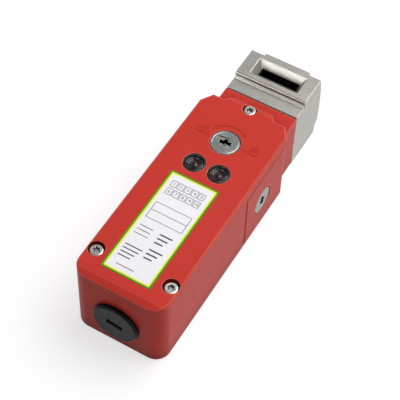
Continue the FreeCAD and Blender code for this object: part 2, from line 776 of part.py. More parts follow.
def head_retainer():
    """Plate behind the cam, with two legs that close the grooves of the cam pin."""
    plate = box(-retainer_w / 2 + 0.1, retainer_w / 2 - 0.1, retainer_y, retainer_y + retainer_t - 0.1,
                axis_z - retainer_h / 2 + 0.1, axis_z + retainer_h / 2 - 0.1)
    leg_x0, leg_x1 = chamber_l / 2 + 0.3, cam_pin_l / 2
    leg = box(leg_x0, leg_x1, retainer_y, cam_y - cam_pin_r * 0.98 - 0.05, axis_z - cam_pin_r + 0.1,
              axis_z + cam_pin_r - 0.1)
    holes = [cyl_y(rod_r + 0.3, head_y - 1, head_y + 4, 0, axis_z),
             cyl_y(plunger_r + 0.2, head_y - 1, head_y + 4, follower_x, axis_z)]
    for side in (-1, 1):
        x = side * retainer_screw_x()
        holes.append(cyl_y(retainer_screw_r + 0.05, head_y - 1, retainer_y + retainer_screw_l, x, axis_z))
        holes.append(cyl_y(retainer_head_r + 0.1, head_y - 1, retainer_y + retainer_head_h + 0.05, x, axis_z))
        for z in head_screw_levels():
            holes.append(cyl_y(head_screw_r + 0.3, head_y - 1, head_y + 4, side * head_screw_pitch / 2, z))
    return plate.fuse([leg, mirror_x(leg)]).cut(holes)


def retainer_screws():
    x = retainer_screw_x()
    head = cyl_y(retainer_head_r, retainer_y, retainer_y + retainer_head_h, x, axis_z)
    shank = cyl_y(retainer_screw_r, retainer_y, retainer_y + retainer_screw_l, x, axis_z)
    return both_sides(head.fuse(shank))


def head_gasket():
    w, z1 = neck_w / 2 - gasket_step, neck_h - gasket_step
    sheet = box(-w, w, neck_end, head_y, gasket_step, z1)
    holes = [cyl_y(rod_r + 1.0, neck_end - 1, head_y + 1, 0, axis_z),
             cyl_y(plunger_r + 0.7, neck_end - 1, head_y + 1, follower_x, axis_z)]
    for side in (-1, 1):
        holes.append(cyl_y(2.2, neck_end - 1, head_y + 1, side * retainer_screw_x(), axis_z))
        for z in head_screw_levels():
            holes.append(cyl_y(head_screw_r + 0.1, neck_end - 1, head_y + 1, side * head_screw_pitch / 2, z))
    return sheet.cut(holes)


def socket_screw_y(r, head_r, head_h, y, length, x, z):
    """A socket-head screw along -Y: the underside of its head at y, hexagon recess outside."""
    head = cyl_y(head_r, y, y + head_h, x, z)
    shank = cyl_y(r, y - length, y, x, z)
    hexagon = [V(x + r * 0.85 * math.cos(math.radians(60 * n)), y + head_h * 0.4,
                 z + r * 0.85 * math.sin(math.radians(60 * n))) for n in range(6)]
    recess = polygon(hexagon).extrude(V(0, head_h, 0))
    return head.fuse(shank).cut(recess)


def head_screws():
    length = head_screw_seat + gasket_t + head_insert_len + 1.0
    screws = []
    for x in (-head_screw_pitch / 2, head_screw_pitch / 2):
        for z in head_screw_levels():
            screws.append(socket_screw_y(head_screw_r, head_screw_head_r, head_screw_head_h,
                                         head_y + head_screw_seat, length, x, z))
    return Part.makeCompound(screws)


def head_inserts():
    rings = []
    for x in (-head_screw_pitch / 2, head_screw_pitch / 2):
        for z in head_screw_levels():
            rings.append(ring(head_insert_r, head_screw_r, head_insert_len - 0.2,
                              V(x, neck_end - head_insert_len + 0.1, z), Y))
    return Part.makeCompound(rings)


# ---------------------------------------------------------------- cam
def radial_notch(width, floor, angle, x0, x1):
    """A parallel-sided notch open outwards, at an angle from +Y towards +Z."""
    notch = box(x0 - 1, x1 + 1, cam_y + floor, cam_y + 2 * cam_r, axis_z - width / 2, axis_z + width / 2)
    notch.rotate(V(0, cam_y, axis_z), X, angle)
    return notch


def follower_plate():
    """The sensing cam: an even spiral, so the plunger moves in proportion to the turn."""
    def at(radius, angle):
        a = math.radians(angle)
        return V(0, radius * math.cos(a), radius * math.sin(a))

    rate = follower_stroke / math.radians(cam_turn)
    inside = follower_nose_r + follower_gap
    spiral = []
    steps = 12
    for n in range(steps + 1):
        turn = cam_turn * n / steps
        radius = follower_high - follower_stroke * n / steps
        direction = at(1, 180 + turn)
        tangent = at(1, 270 + turn)
        normal = (direction * radius + tangent * rate)
        normal.normalize()
        spiral.append(direction * radius - normal * inside)
    low = at(follower_high - follower_stroke, 180 + cam_turn)
    out, along = at(1, 180 + cam_turn), at(1, 270 + cam_turn)
    seat = []
    seat_from = -math.atan2(rate, follower_high - follower_stroke)
    seat_to = math.radians(70)
    for n in range(1, steps + 1):
        a = seat_from + (seat_to - seat_from) * n / steps
        seat.append(low + (out * -math.cos(a) + along * math.sin(a)) * inside)
    high_r = spiral[0].Length
    land_from = math.degrees(math.atan2(-spiral[0].z, -spiral[0].y))
    edges = [Part.makePolygon(spiral + seat)]
    idle_from = math.degrees(math.atan2(seat[-1].z, seat[-1].y))
    idle = Part.Arc(seat[-1], at(seat[-1].Length, (idle_from + 90) / 2), at(seat[-1].Length, 100))
    edges.append(idle.toShape())
    edges.append(Part.makePolygon([at(seat[-1].Length, 100), at(high_r, 145)]))
    edges.append(Part.Arc(at(high_r, 145), at(high_r, (145 + 180 + land_from) / 2), spiral[0]).toShape())
    face = Part.Face(Part.Wire([e for part in edges for e in part.Edges]))
    plate = face.extrude(V(follower_t, 0, 0))
    plate.translate(V(follower_x - follower_t / 2, cam_y, axis_z))
    return plate


def cam_wheel():
    """Lock disc in the middle, sensing cam at the right, one hub through both."""
    half = cam_t / 2
    disc = cyl_x(cam_r, -half, half, cam_y, axis_z)
    entry = math.degrees(math.asin(tongue_offset / cam_r))
    notches = [radial_notch(tongue_notch_w, tongue_notch_floor, 90 - entry, -half, half),
               radial_notch(tongue_notch_w, tongue_notch_floor, entry - 90 - 30, -half, half),
               radial_notch(lock_notch_w, lock_notch_floor, 180, -half, half),
               radial_notch(lock_notch_w, lock_notch_floor, 180 + cam_turn, -half, half)]
    disc = disc.cut(notches)
    hub_end = chamber_l / 2 - 0.2
    hub = cyl_x(cam_hub_r, -hub_end, follower_x - follower_t / 2, cam_y, axis_z)
    body = disc.fuse([hub, follower_plate()])
    return body.cut(cyl_x(cam_pin_r + running, -chamber_l, chamber_l, cam_y, axis_z))


def cam_pin():
    return cyl_x(cam_pin_r, -cam_pin_l / 2, cam_pin_l / 2, cam_y, axis_z)


# ---------------------------------------------------------------- rods and their guide
def guide_block(clearance):
    """Oval guide in the neck, round the lock rod and the sensing plunger."""
    y0, y1 = inner_end - 0.5, inner_end + guide_len
    r = guide_w - clearance
    block = cyl_y(r, y0, y1 - clearance, 0, axis_z)
    block = block.fuse([cyl_y(r, y0, y1 - clearance, follower_x, axis_z),
                        box(0, follower_x, y0, y1 - clearance, axis_z - r, axis_z + r)])
    return block.removeSplitter()


def rod_guide():
    bores = [cyl_y(rod_r + running, inner_end - 2, neck_end, 0, axis_z),
             cyl_y(plunger_r + running, inner_end - 2, neck_end, follower_x, axis_z)]
    return guide_block(0.05).cut(bores)


def rod_seal():
    y = inner_end + guide_len + 1.0
    return torus(rod_r + seal_wire_r * 0.55 + 0.12, seal_wire_r * 0.55, V(0, y, axis_z), Y)


def plunger_seal():
    y = inner_end + guide_len + 1.0
    return torus(plunger_r + 0.45, 0.35, V(follower_x, y, axis_z), Y)


def lock_rod():
    y0 = yoke_y - rod_tail_l
    shaft = cyl_y(rod_r, y0, rod_tip, 0, axis_z)
    nose_y = rod_tip - rod_nose_l
    keep = box(-rod_r - 1, rod_r + 1, y0 - 1, nose_y, axis_z - rod_r - 1, axis_z + rod_r + 1)
    w, t = rod_nose_w / 2, rod_nose_t / 2
    nose = box(-w, w, nose_y, rod_tip, axis_z - t, axis_z + t)
    shaft = shaft.common(keep.fuse(nose))
    tail = ring(rod_r + 1, rod_tail_r, rod_tail_l, V(0, y0, axis_z), Y)
    groove = ring(rod_r + 1, rod_r - 0.6, clip_t, V(0, yoke_front, axis_z), Y)
    return shaft.cut([tail, groove])


def yoke_clip():
    return ring(rod_clip_r, rod_r - 0.6, clip_t - 0.1, V(0, yoke_front + 0.05, axis_z), Y)


def release_yoke():
    """Moulding on the lock rod that both releases and the lock contacts work on."""
    plate = cyl_y(yoke_w / 2, yoke_y, yoke_front, 0, axis_z)
    plate = plate.common(box(-yoke_w, yoke_w, 0, yoke_front, axis_z - 8.0, axis_z + 8.0))
    arm = box(-yoke_arm_l, 0, yoke_y, yoke_front, axis_z - 4.0, axis_z + 4.0)
    z0, z1 = top_spring_levels()
    block = box(-release_arm_r - 2.2, release_arm_r + 2.2, yoke_y, yoke_front + yoke_step, z0 - 0.2, z1 + 0.2)
    lug_z = axis_z - release_arm_r - release_spring_half
    lug = box(rod_r + 0.6, yoke_w / 2, yoke_y, yoke_front, lug_z, axis_z)
    bore = cyl_y(rod_r + 0.01, yoke_y - 1, yoke_front + yoke_step + 1, 0, axis_z)
    x0, x1 = side_spring_places()
    pegs = [spring_peg(yoke_front + yoke_step, 0, (z0 + z1) / 2),
            spring_peg(yoke_front, (x0 + x1) / 2, side_peg_z())]
    return plate.fuse([arm, block, lug] + pegs).removeSplitter().cut(bore)


def spring_peg(y, x, z):
    """Peg of the yoke that an overload spring is staked on."""
    stem = cyl_y(release_peg_r, y - 1, y + release_spring_t, x, z)
    return stem.fuse(cyl_y(release_peg_head_r, y + release_spring_t, y + release_spring_t + 0.6, x, z))


def peg_hole(y, x, z):
    return cyl_y(release_peg_r + 0.05, y - 1, y + release_spring_t + 0.1, x, z)


def side_peg_z():
    return axis_z - release_arm_r - release_peg_off


def top_spring_levels():
    return (top_z - top_pin_reach() + 0.4, top_z - release_crank_at - release_crank_t - 0.6)


def side_spring_places():
    return (rod_r + 1.2, side_crank_x - yoke_gap - 0.1)


def overload_spring(y, pin_y, half, z0, z1):
    """A flat loop of spring strip along X, from the yoke's face to just short of the turned pin."""
    r = (pin_y - release_pin_r - release_spring_gap - y) / 2
    outside = obround(half, r, y, z0, z1)
    inside = obround(half - release_spring_t, r - release_spring_t, y + release_spring_t, z0, z1)
    return outside.cut(inside)


def obround(half, r, y, z0, z1):
    ends = [cyl_z(r, z0, z1, x, y + r) for x in (r - half, half - r)]
    return box(r - half, half - r, y, y + 2 * r, z0, z1).fuse(ends).removeSplitter()


def top_release_spring():
    y = yoke_front + yoke_step
    z0, z1 = top_spring_levels()
    loop = overload_spring(y, top_release_y, release_arm_r + 1.8, z0, z1)
    return loop.cut(peg_hole(y, 0, (z0 + z1) / 2))


def side_release_spring():
    x0, x1 = side_spring_places()
    loop = overload_spring(yoke_front, side_release_y, release_spring_half, x0, x1)
    loop.rotate(V(0, 0, 0), Y, 90)
    loop.translate(V(0, 0, axis_z - release_arm_r))
    return loop.cut(peg_hole(yoke_front, (x0 + x1) / 2, side_peg_z()))


def sensing_plunger():
    y0 = block_y1 + 1.6
    nose_y = plunger_tip - follower_nose_r
    shaft = cyl_y(plunger_r, y0, nose_y - 4.0, follower_x, axis_z)
    neck = cyl_y(follower_nose_r, nose_y - 4.0, nose_y, follower_x, axis_z)
    ball = Part.makeSphere(follower_nose_r, V(follower_x, nose_y, axis_z))
    return shaft.fuse([neck, ball]).removeSplitter()


# ---------------------------------------------------------------- solenoid
def solenoid_frame():
    w, h, t = coil_frame_w / 2, coil_frame_h / 2, coil_frame_t
    shell = box(-w, w, coil_y0, coil_end, axis_z - h, axis_z + h)
    inside = box(-w - 1, w + 1, coil_y0 + t, coil_end - t, axis_z - h + t, axis_z + h - t)
    half = coil_foot_w / 2
    foot = box(-half, half, coil_y0 - coil_foot, coil_end + coil_foot, axis_z - h, axis_z - h + t)
    cuts = [inside, cyl_y(armature_r + bobbin_gap, coil_end - t - 1, coil_end + 1, 0, axis_z),
            cyl_y(3.0, coil_y0 - 1, coil_y0 + t + 1, 0, axis_z)]
    for y in (coil_y0 - coil_foot / 2, coil_end + coil_foot / 2):
        cuts.append(cyl_z(m3_r + 0.2, axis_z - h - 1, axis_z - h + t + 1, 0, y))
    return shell.fuse(foot).removeSplitter().cut(cuts)


def solenoid_screws():
    z = axis_z - coil_frame_h / 2 + coil_frame_t
    w = m3_slot_w / 2
    screws = []
    for y in (coil_y0 - coil_foot / 2, coil_end + coil_foot / 2):
        head = cyl_z(coil_screw_head_r, z, z + m3_head_h, 0, y)
        slot = box(-w, w, y - m3_head_r, y + m3_head_r, z + m3_head_h / 2, z + 2 * m3_head_h)
        screws.append(head.fuse(cyl_z(m3_r - 0.05, z - coil_screw_l, z, 0, y)).cut(slot))
    return Part.makeCompound(screws)


def solenoid_bobbin():
    y0, y1 = coil_y0 + coil_frame_t + 0.1, coil_end - coil_frame_t - 0.1
    r = armature_r + bobbin_gap
    w = coil_frame_w / 2 - 0.8
    h = coil_frame_h / 2 - coil_frame_t - 0.1
    tube = cyl_y(r + bobbin_wall, y0, y1, 0, axis_z)
    flanges = [box(-w, w, y, y + bobbin_flange_t, axis_z - h, axis_z + h) for y in (y0, y1 - bobbin_flange_t)]
    return tube.fuse(flanges).removeSplitter().cut(cyl_y(r, y0 - 1, y1 + 1, 0, axis_z))


def solenoid_winding():
    y0 = coil_y0 + coil_frame_t + bobbin_flange_t + 0.2
    y1 = coil_end - coil_frame_t - bobbin_flange_t - 0.2
    inner = armature_r + bobbin_gap + bobbin_wall + 0.05
    return ring(winding_r, inner, y1 - y0, V(0, y0, axis_z), Y)


def pole_piece():
    y0 = coil_y0 + coil_frame_t
    core = cyl_y(armature_r + bobbin_gap - 0.05, y0, y0 + pole_len, 0, axis_z)
    rivet = cyl_y(2.95, coil_y0 - 1.0, y0, 0, axis_z)
    cone = Part.makeCone(3.6, 1.2, 3.0, V(0, y0 + pole_len - 3.0, axis_z), Y)
    return core.fuse(rivet).cut(cone.mirror(V(0, y0 + pole_len - 1.5, axis_z), Y))


def armature():
    y0 = coil_y0 + coil_frame_t + pole_len + air_gap
    body = cyl_y(armature_r, y0, yoke_y, 0, axis_z)
    return body.cut(cyl_y(rod_tail_r, yoke_y - rod_tail_l, yoke_y + 1, 0, axis_z))


def lock_spring():
    return spring(spring_r, spring_wire_r, coil_end + 0.1, yoke_y - 0.1, 0, axis_z, 6)


# ---------------------------------------------------------------- contact blocks
def block_shell(side, stem_x, open_to_head):
    x0, x1 = side * block_x - block_w / 2, side * block_x + block_w / 2
    z1 = floor_t + block_h
    shell = box(x0, x1, block_y0, block_y1, floor_t, z1)
    pocket = box(x0 + block_wall, x1 - block_wall, block_y0 + block_wall, block_y1 - block_wall,
                 floor_t + block_wall, z1 + 1)
    stems = cyl_y(stem_r + 0.1, block_y0 - 1, block_y0 + 3, stem_x, axis_z)
    if open_to_head:
        stems = cyl_y(stem_r + 0.1, block_y1 - 3, block_y1 + 1, stem_x, axis_z)
    return shell.cut([pocket, stems])


def carrier(side, y, stem_x, stem_end):
    """The moving carriage: a plate in the pocket and a stem out of one end."""
    plate = box(side * block_x - carrier_w / 2, side * block_x + carrier_w / 2, y, y + carrier_t,
                floor_t + block_wall + 0.3, floor_t + block_h - 1.0)
    if stem_end > y:
        stem = cyl_y(stem_r, y + carrier_t, stem_end, stem_x, axis_z)
    else:
        stem = cyl_y(stem_r, stem_end, y, stem_x, axis_z)
    windows = [box(side * block_x - block_w, side * block_x + block_w, y + carrier_t / 2 - bridge_t / 2,
                   y + carrier_t / 2 + bridge_t / 2, floor_t + level, floor_t + level + bridge_h)
               for level in contact_levels]
    return plate.fuse(stem).cut(windows)


def bridges(side, y):
    half = block_w / 2 - block_wall - 0.5
    bars = [box(side * block_x - half, side * block_x + half, y + carrier_t / 2 - bridge_t / 2,
                y + carrier_t / 2 + bridge_t / 2, floor_t + level, floor_t + level + bridge_h)
            for level in contact_levels]
    return Part.makeCompound(bars)


def fixed_contacts(side, y):
    """Contact strips on the pocket's walls, clear of the bridges until they close."""
    inner = block_w / 2 - block_wall
    strips = []
    for level in contact_levels:
        for hand in (-1, 1):
            wall_x = side * block_x + hand * inner
            x0, x1 = sorted((wall_x, wall_x - hand * 1.4))
            strips.append(box(x0, x1, y, y + 0.8, floor_t + level + 0.4, floor_t + level + bridge_h - 0.4))
    return Part.makeCompound(strips)


# the tongue block works towards the head, the lock block towards the yoke
tongue_carrier_y = block_y0 + block_wall + 3.5
lock_carrier_y = block_y0 + block_wall + 2.0


def tongue_stem_end():
    return block_y1 + 1.5


def contact_spring(side, y0, y1, turns):
    return spring(contact_spring_r, contact_wire_r, y0 + 0.1, y1 - 0.1, side * block_x, contact_spring_z,
                  turns)


def tongue_contact_spring():
    return contact_spring(1, block_y0 + block_wall, tongue_carrier_y, 4)


def lock_contact_spring():
    return contact_spring(-1, lock_carrier_y + carrier_t, block_y1 - block_wall, 6)


# ---------------------------------------------------------------- terminals and circuit board
def terminal_x():
    first = -(terminals - 1) / 2 * terminal_pitch
    return [first + n * terminal_pitch for n in range(terminals)]


def terminal_block():
    half = terminals * terminal_pitch / 2
    y0, y1 = terminal_y0, terminal_y0 + terminal_l
    z1 = floor_t + terminal_h
    body = box(-half, half, y0, y1, floor_t, z1)
    step = box(-half - 1, half + 1, y0 - 1, y0 + 4.0, floor_t + terminal_h - 5.0, z1 + 1)
    cuts = [step]
    mid = y0 + terminal_mid
    for x in terminal_x():
        cuts.append(cyl_z(terminal_screw_r + 0.2, clamp_z + clamp_h / 2, z1 + 1, x, mid))
        cuts.append(cyl_y(wire_hole_r, y0 - 1, mid - clamp_l / 2 + 0.5, x, clamp_z + clamp_h / 4))
        cuts.append(clamp_box(x, 0.05))
    return body.cut(cuts)


def clamp_box(x, grow):
    """The outside of one wire clamp, or with some growth the pocket that it sits in."""
    mid = terminal_y0 + terminal_mid
    w, half = clamp_w / 2 + grow, clamp_l / 2 + grow
    return box(x - w, x + w, mid - half, mid + half, clamp_z - grow, clamp_z + clamp_h + grow)


def terminal_clamps():
    mid = terminal_y0 + terminal_mid
    cages = []
    half = clamp_w / 2 - clamp_t
    for x in terminal_x():
        mouth = box(x - half, x + half, mid - clamp_l, mid + clamp_l, clamp_z + clamp_t,
                    clamp_z + clamp_h / 2 + clamp_t)
        thread = cyl_z(clamp_thread_r, clamp_z + clamp_h / 2, clamp_z + clamp_h + 1, x, mid)
        cages.append(clamp_box(x, 0).cut([mouth, thread]))
    return Part.makeCompound(cages)


def terminal_screws():
    mid = terminal_y0 + terminal_mid
    screws = []
    z0 = clamp_z + clamp_h + 0.5
    z1 = z0 + terminal_head_h
    for x in terminal_x():
        head = cyl_z(terminal_screw_r, z0, z1, x, mid)
        shank = cyl_z(clamp_thread_r - 0.05, clamp_z + clamp_h / 2 + 0.2, z0, x, mid)
        slot = box(x - 3, x + 3, mid - 0.25, mid + 0.25, z1 - 0.6, z1 + 1)
        screws.append(head.fuse(shank).cut(slot))
    return Part.makeCompound(screws)


def circuit_board():
    board = box(-board_w / 2, board_w / 2, board_y0, board_y0 + board_l, board_z, board_z + board_t)
    holes = [cyl_z(m3_r + 0.1, board_z - 1, board_z + 3, side * board_post_x(), y)
             for side in (-1, 1) for y in board_post_places()]
    return board.cut(holes)


def board_screws():
    screws = []
    z = board_z + board_t
    for side in (-1, 1):
        for y in board_post_places():
            x = side * board_post_x()
            head = cyl_z(m3_head_r, z, z + m3_head_h, x, y)
            slot = box(x - m3_head_r, x + m3_head_r, y - m3_slot_w / 2, y + m3_slot_w / 2,
                       z + m3_head_h / 2, z + 2 * m3_head_h)
            screws.append(head.fuse(cyl_z(m3_r - 0.02, z - board_screw_l, z, x, y)).cut(slot))
    return Part.makeCompound(screws)


# ---------------------------------------------------------------- the nodes
nodes = {
    "housing": housing(),
    "lid": lid(),
    "lid_gasket": lid_gasket(),
    "lid_screws": lid_screws(),
    "lid_inserts": lid_inserts(),
    "conduit_plug": conduit_plug(),
    "conduit_plug_seal": conduit_plug_seal(),
    "led_bezel_left": led_bezel(-1),
    "led_bezel_right": led_bezel(1),
    "led_lens_left": led_lens(-1),
    "led_lens_right": led_lens(1),
    "led_lamp_left": led_lamp(-1),
    "led_lamp_right": led_lamp(1),
    "circuit_board": circuit_board(),
    "board_screws": board_screws(),
    "terminal_block": terminal_block(),
    "terminal_clamps": terminal_clamps(),
    "terminal_screws": terminal_screws(),
    "solenoid_frame": solenoid_frame(),
    "solenoid_screws": solenoid_screws(),
    "solenoid_bobbin": solenoid_bobbin(),
    "solenoid_winding": solenoid_winding(),
    "pole_piece": pole_piece(),
    "armature": armature(),
    "lock_rod": lock_rod(),
    "release_yoke": release_yoke(),
    "yoke_clip": yoke_clip(),
    "top_release_spring": top_release_spring(),
    "side_release_spring": side_release_spring(),
    "lock_spring": lock_spring(),
    "rod_guide": rod_guide(),
    "rod_seal": rod_seal(),
    "sensing_plunger": sensing_plunger(),
    "plunger_seal": plunger_seal(),
    "tongue_contact_block": block_shell(1, follower_x, True),
    "tongue_contact_carrier": carrier(1, tongue_carrier_y, follower_x, tongue_stem_end()),
    "tongue_contact_bridges": bridges(1, tongue_carrier_y),
    "tongue_fixed_contacts": fixed_contacts(1, tongue_carrier_y + carrier_t + follower_stroke),
    "tongue_contact_spring": tongue_contact_spring(),
    "lock_contact_block": block_shell(-1, -block_x, False),
    "lock_contact_carrier": carrier(-1, lock_carrier_y, -block_x, yoke_front + 0.1),
    "lock_contact_bridges": bridges(-1, lock_carrier_y),
    "lock_fixed_contacts": fixed_contacts(-1, lock_carrier_y + carrier_t + lock_stroke),
    "lock_contact_spring": lock_contact_spring(),
    "head_gasket": head_gasket(),
    "head_body": head_body(),
    "head_retainer": head_retainer(),
    "retainer_screws": retainer_screws(),
    "head_screws": head_screws(),
    "head_inserts": head_inserts(),
    "cam_wheel": cam_wheel(),
    "cam_pin": cam_pin(),
    "top_release_disc": to_top(release_solid(top_pin_reach(), -8)),
    "top_release_seal": to_top(release_seal_solid()),
    "top_release_clip": to_top(release_clip_solid()),
    "side_release_disc": to_side(release_solid(side_pin_reach(), 10)),
    "side_release_seal": to_side(release_seal_solid()),
    "side_release_clip": to_side(release_clip_solid()),
}

os.makedirs("parts", exist_ok=True)
for name, shape in nodes.items():
    shape.translate(V(0, -mount_mid, 0))
    shape.exportStep("parts/" + name + ".step")
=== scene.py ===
# %% [markdown]
# # A tongue interlock switch, dressed for the camera
#
# This switch guards the door of a machine. A steel tongue on the door goes into a slot of the metal head and turns
# a cam there, and a rod that a solenoid drives locks the cam. The red case carries two indicator windows, a label
# and two key releases.
#
# The construction is already exact, so this lesson keeps those solids where they are and gives them what the eye
# would see: finishes, print, moulded marks and light. Every piece could be modelled again here, but the solids have
# the right shape, so most of them only get a material, and a few small pieces are made finer.

import json
import math

import bmesh
import bpy
from mathutils import Matrix, Vector


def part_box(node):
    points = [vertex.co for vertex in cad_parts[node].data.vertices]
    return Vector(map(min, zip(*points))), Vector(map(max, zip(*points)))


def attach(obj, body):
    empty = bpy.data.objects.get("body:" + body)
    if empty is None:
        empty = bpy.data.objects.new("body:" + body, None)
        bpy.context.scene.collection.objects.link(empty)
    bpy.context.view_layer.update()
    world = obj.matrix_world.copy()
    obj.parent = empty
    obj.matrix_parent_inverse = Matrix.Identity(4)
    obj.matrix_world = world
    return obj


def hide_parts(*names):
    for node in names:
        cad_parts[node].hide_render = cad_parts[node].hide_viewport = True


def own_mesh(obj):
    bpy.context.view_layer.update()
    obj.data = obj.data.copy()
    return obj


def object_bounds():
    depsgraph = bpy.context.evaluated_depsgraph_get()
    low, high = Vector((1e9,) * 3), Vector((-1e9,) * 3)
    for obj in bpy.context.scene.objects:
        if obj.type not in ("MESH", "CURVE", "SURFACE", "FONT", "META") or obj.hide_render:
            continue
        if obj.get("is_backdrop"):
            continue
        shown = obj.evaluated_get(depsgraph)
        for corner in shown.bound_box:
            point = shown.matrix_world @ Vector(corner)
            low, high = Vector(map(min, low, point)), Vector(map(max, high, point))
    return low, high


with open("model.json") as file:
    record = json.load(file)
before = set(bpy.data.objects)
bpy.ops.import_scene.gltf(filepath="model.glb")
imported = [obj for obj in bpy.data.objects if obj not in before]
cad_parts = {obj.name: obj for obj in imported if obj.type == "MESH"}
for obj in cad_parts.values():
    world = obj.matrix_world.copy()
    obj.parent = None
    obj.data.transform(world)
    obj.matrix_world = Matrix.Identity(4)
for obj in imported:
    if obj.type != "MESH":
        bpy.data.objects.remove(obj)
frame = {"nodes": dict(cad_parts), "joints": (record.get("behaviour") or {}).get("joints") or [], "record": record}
cad_low, cad_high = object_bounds()
nodes = frame["nodes"]
print("nodes loaded:", len(nodes))

# %% [markdown]
# The real switch is measured in millimetres and Blender works in metres. One named factor keeps every size in this
# file readable. The places come from the frame: the lid's box gives the top face and the plug end, and each release
# turns about an axis that its joint states.

# %% Millimetres and places
MM = 0.001
lid_low, lid_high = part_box("lid")
TOP = lid_high.z / MM
PLUG_END = lid_low.y / MM


def mm(x, y, z):
    """A point from three sizes in millimetres."""
    return Vector((x, y, z)) * MM


def joint_place(name):
    """Where a joint's axis stands, in metres."""
    return Vector(next(j["pos_m"] for j in frame["joints"] if j["name"] == name))


top_release = joint_place("top_release_turn")
side_release = joint_place("side_release_turn")
print("top of the lid, mm:", round(TOP, 2), "and the plug end:", round(PLUG_END, 2))

# %% [markdown]
# A long lens from about 70 cm keeps the case almost parallel, as in a catalogue picture. The camera could be aimed
# with a tracking constraint, but three plain vectors give its place, its direction and its small roll, and anyone
# can read them back. The Standard view transform shows a colour as it is written.

# %% Camera
LENS_MM = 121.9
SENSOR_MM = 36.0
camera_place = Vector((0.19216, -0.33692, 0.58287))
camera_forward = Vector((-0.27850, 0.52107, -0.80680)).normalized()
camera_right = Vector((0.86382, 0.50309, 0.02674))

camera_data = bpy.data.cameras.new("camera")
camera_data.lens = LENS_MM
camera_data.sensor_width = SENSOR_MM
camera = bpy.data.objects.new("camera", camera_data)
bpy.context.scene.collection.objects.link(camera)
bpy.context.scene.camera = camera
bpy.context.scene.view_settings.view_transform = "Standard"

right = (camera_right - camera_forward * camera_right.dot(camera_forward)).normalized()
up = right.cross(camera_forward)
turn = Matrix((right, up, -camera_forward)).transposed().to_4x4()
camera.matrix_world = Matrix.Translation(camera_place) @ turn
print("camera to the middle of the case, m:", round((camera_place - (cad_low + cad_high) / 2).length, 3))

# %% [markdown]
# Small products are lit from all round in a tent of white cloth. The world is that tent. It gives little light of
# its own, so that the colours stay deep, but the camera, polished metal and clear plastic see it as white at the
# sides and grey overhead, where the studio is dark. Light Path tells these rays apart, and the height of a ray gives
# the shade. The helper that picks the rays serves the sheet too.

# %% The tent
TENT_LIGHT = 0.29
CEILING = 0.30
SIDES_END, CEILING_START = 0.35, 0.95


def rays_that_see(tree):
    """A node that is 1 for camera, glossy and transmission rays and 0 for all others."""
    ray = tree.nodes.new("ShaderNodeLightPath")
    seen = ray.outputs["Is Camera Ray"]
    for kind in ("Is Glossy Ray", "Is Transmission Ray"):
        either = tree.nodes.new("ShaderNodeMath")
        either.operation = "MAXIMUM"
        tree.links.new(seen, either.inputs[0])
        tree.links.new(ray.outputs[kind], either.inputs[1])
        seen = either.outputs[0]
    return seen


world = bpy.data.worlds.new("tent")
bpy.context.scene.world = world
world.use_nodes = True
tent = world.node_tree
tent.nodes.clear()
direction = tent.nodes.new("ShaderNodeTexCoord")
height = tent.nodes.new("ShaderNodeSeparateXYZ")
shade = tent.nodes.new("ShaderNodeMapRange")
shade.interpolation_type = "SMOOTHSTEP"
shade.inputs["From Min"].default_value = SIDES_END
shade.inputs["From Max"].default_value = CEILING_START
shade.inputs["To Min"].default_value = 1.0
shade.inputs["To Max"].default_value = CEILING
strength = tent.nodes.new("ShaderNodeMix")
strength.inputs["A"].default_value = TENT_LIGHT
cloth = tent.nodes.new("ShaderNodeBackground")
cloth.inputs["Color"].default_value = (1.0, 1.0, 1.0, 1.0)
tent_out = tent.nodes.new("ShaderNodeOutputWorld")
tent.links.new(direction.outputs["Generated"], height.inputs[0])
tent.links.new(height.outputs["Z"], shade.inputs["Value"])
tent.links.new(rays_that_see(tent), strength.inputs["Factor"])
tent.links.new(shade.outputs[0], strength.inputs["B"])
tent.links.new(strength.outputs["Result"], cloth.inputs["Strength"])
tent.links.new(cloth.outputs[0], tent_out.inputs["Surface"])
print("the tent gives", TENT_LIGHT, "and shows", CEILING, "overhead")

# %% [markdown]
# Two soft lamps model the form. The large one hangs over the switch, a little behind it, and makes the lid the
# brightest face. The other stands at the right and keeps that side alive. Two small bright panels light nothing by
# themselves: only glossy rays meet them, so they show as highlights on metal edges, screw heads and polished plastic.
# Area lamps have soft edges, where a point lamp would draw hard shadows.


# %% Soft lamps
def soft_lamp(name, place, size, watts, only_shine=False):
    """A round area lamp that faces the middle of the switch; one that is only shine gives no other light."""
    data = bpy.data.lights.new(name, "AREA")
    data.shape = "DISK"
    data.size = size
    data.energy = watts
    lamp = bpy.data.objects.new(name, data)
    bpy.context.scene.collection.objects.link(lamp)
    lamp.location = place
    aim = (cad_low + cad_high) / 2 - Vector(place)
    lamp.rotation_euler = aim.to_track_quat("-Z", "Y").to_euler()
    lamp.visible_diffuse = not only_shine


soft_lamp("over_lamp", (0.26, 0.45, 1.00), 0.9, 9.6)
soft_lamp("right_lamp", (0.90, 0.10, 0.45), 0.6, 1.5)
soft_lamp("front_panel", (-0.32, -1.02, 0.42), 0.45, 3.0, only_shine=True)
soft_lamp("back_panel", (-0.85, 0.45, 0.50), 0.25, 1.2, only_shine=True)

# %% [markdown]
# The switch lies on a pale sheet. The sheet is a middling grey for light that bounces, so that the case isn't lit
# from below, and a soft glow that only the camera, glossy and transmitted rays meet lifts it to paper white. The
# glow could light everything, but then the red walls would lose their depth. The shadow stays on the sheet.

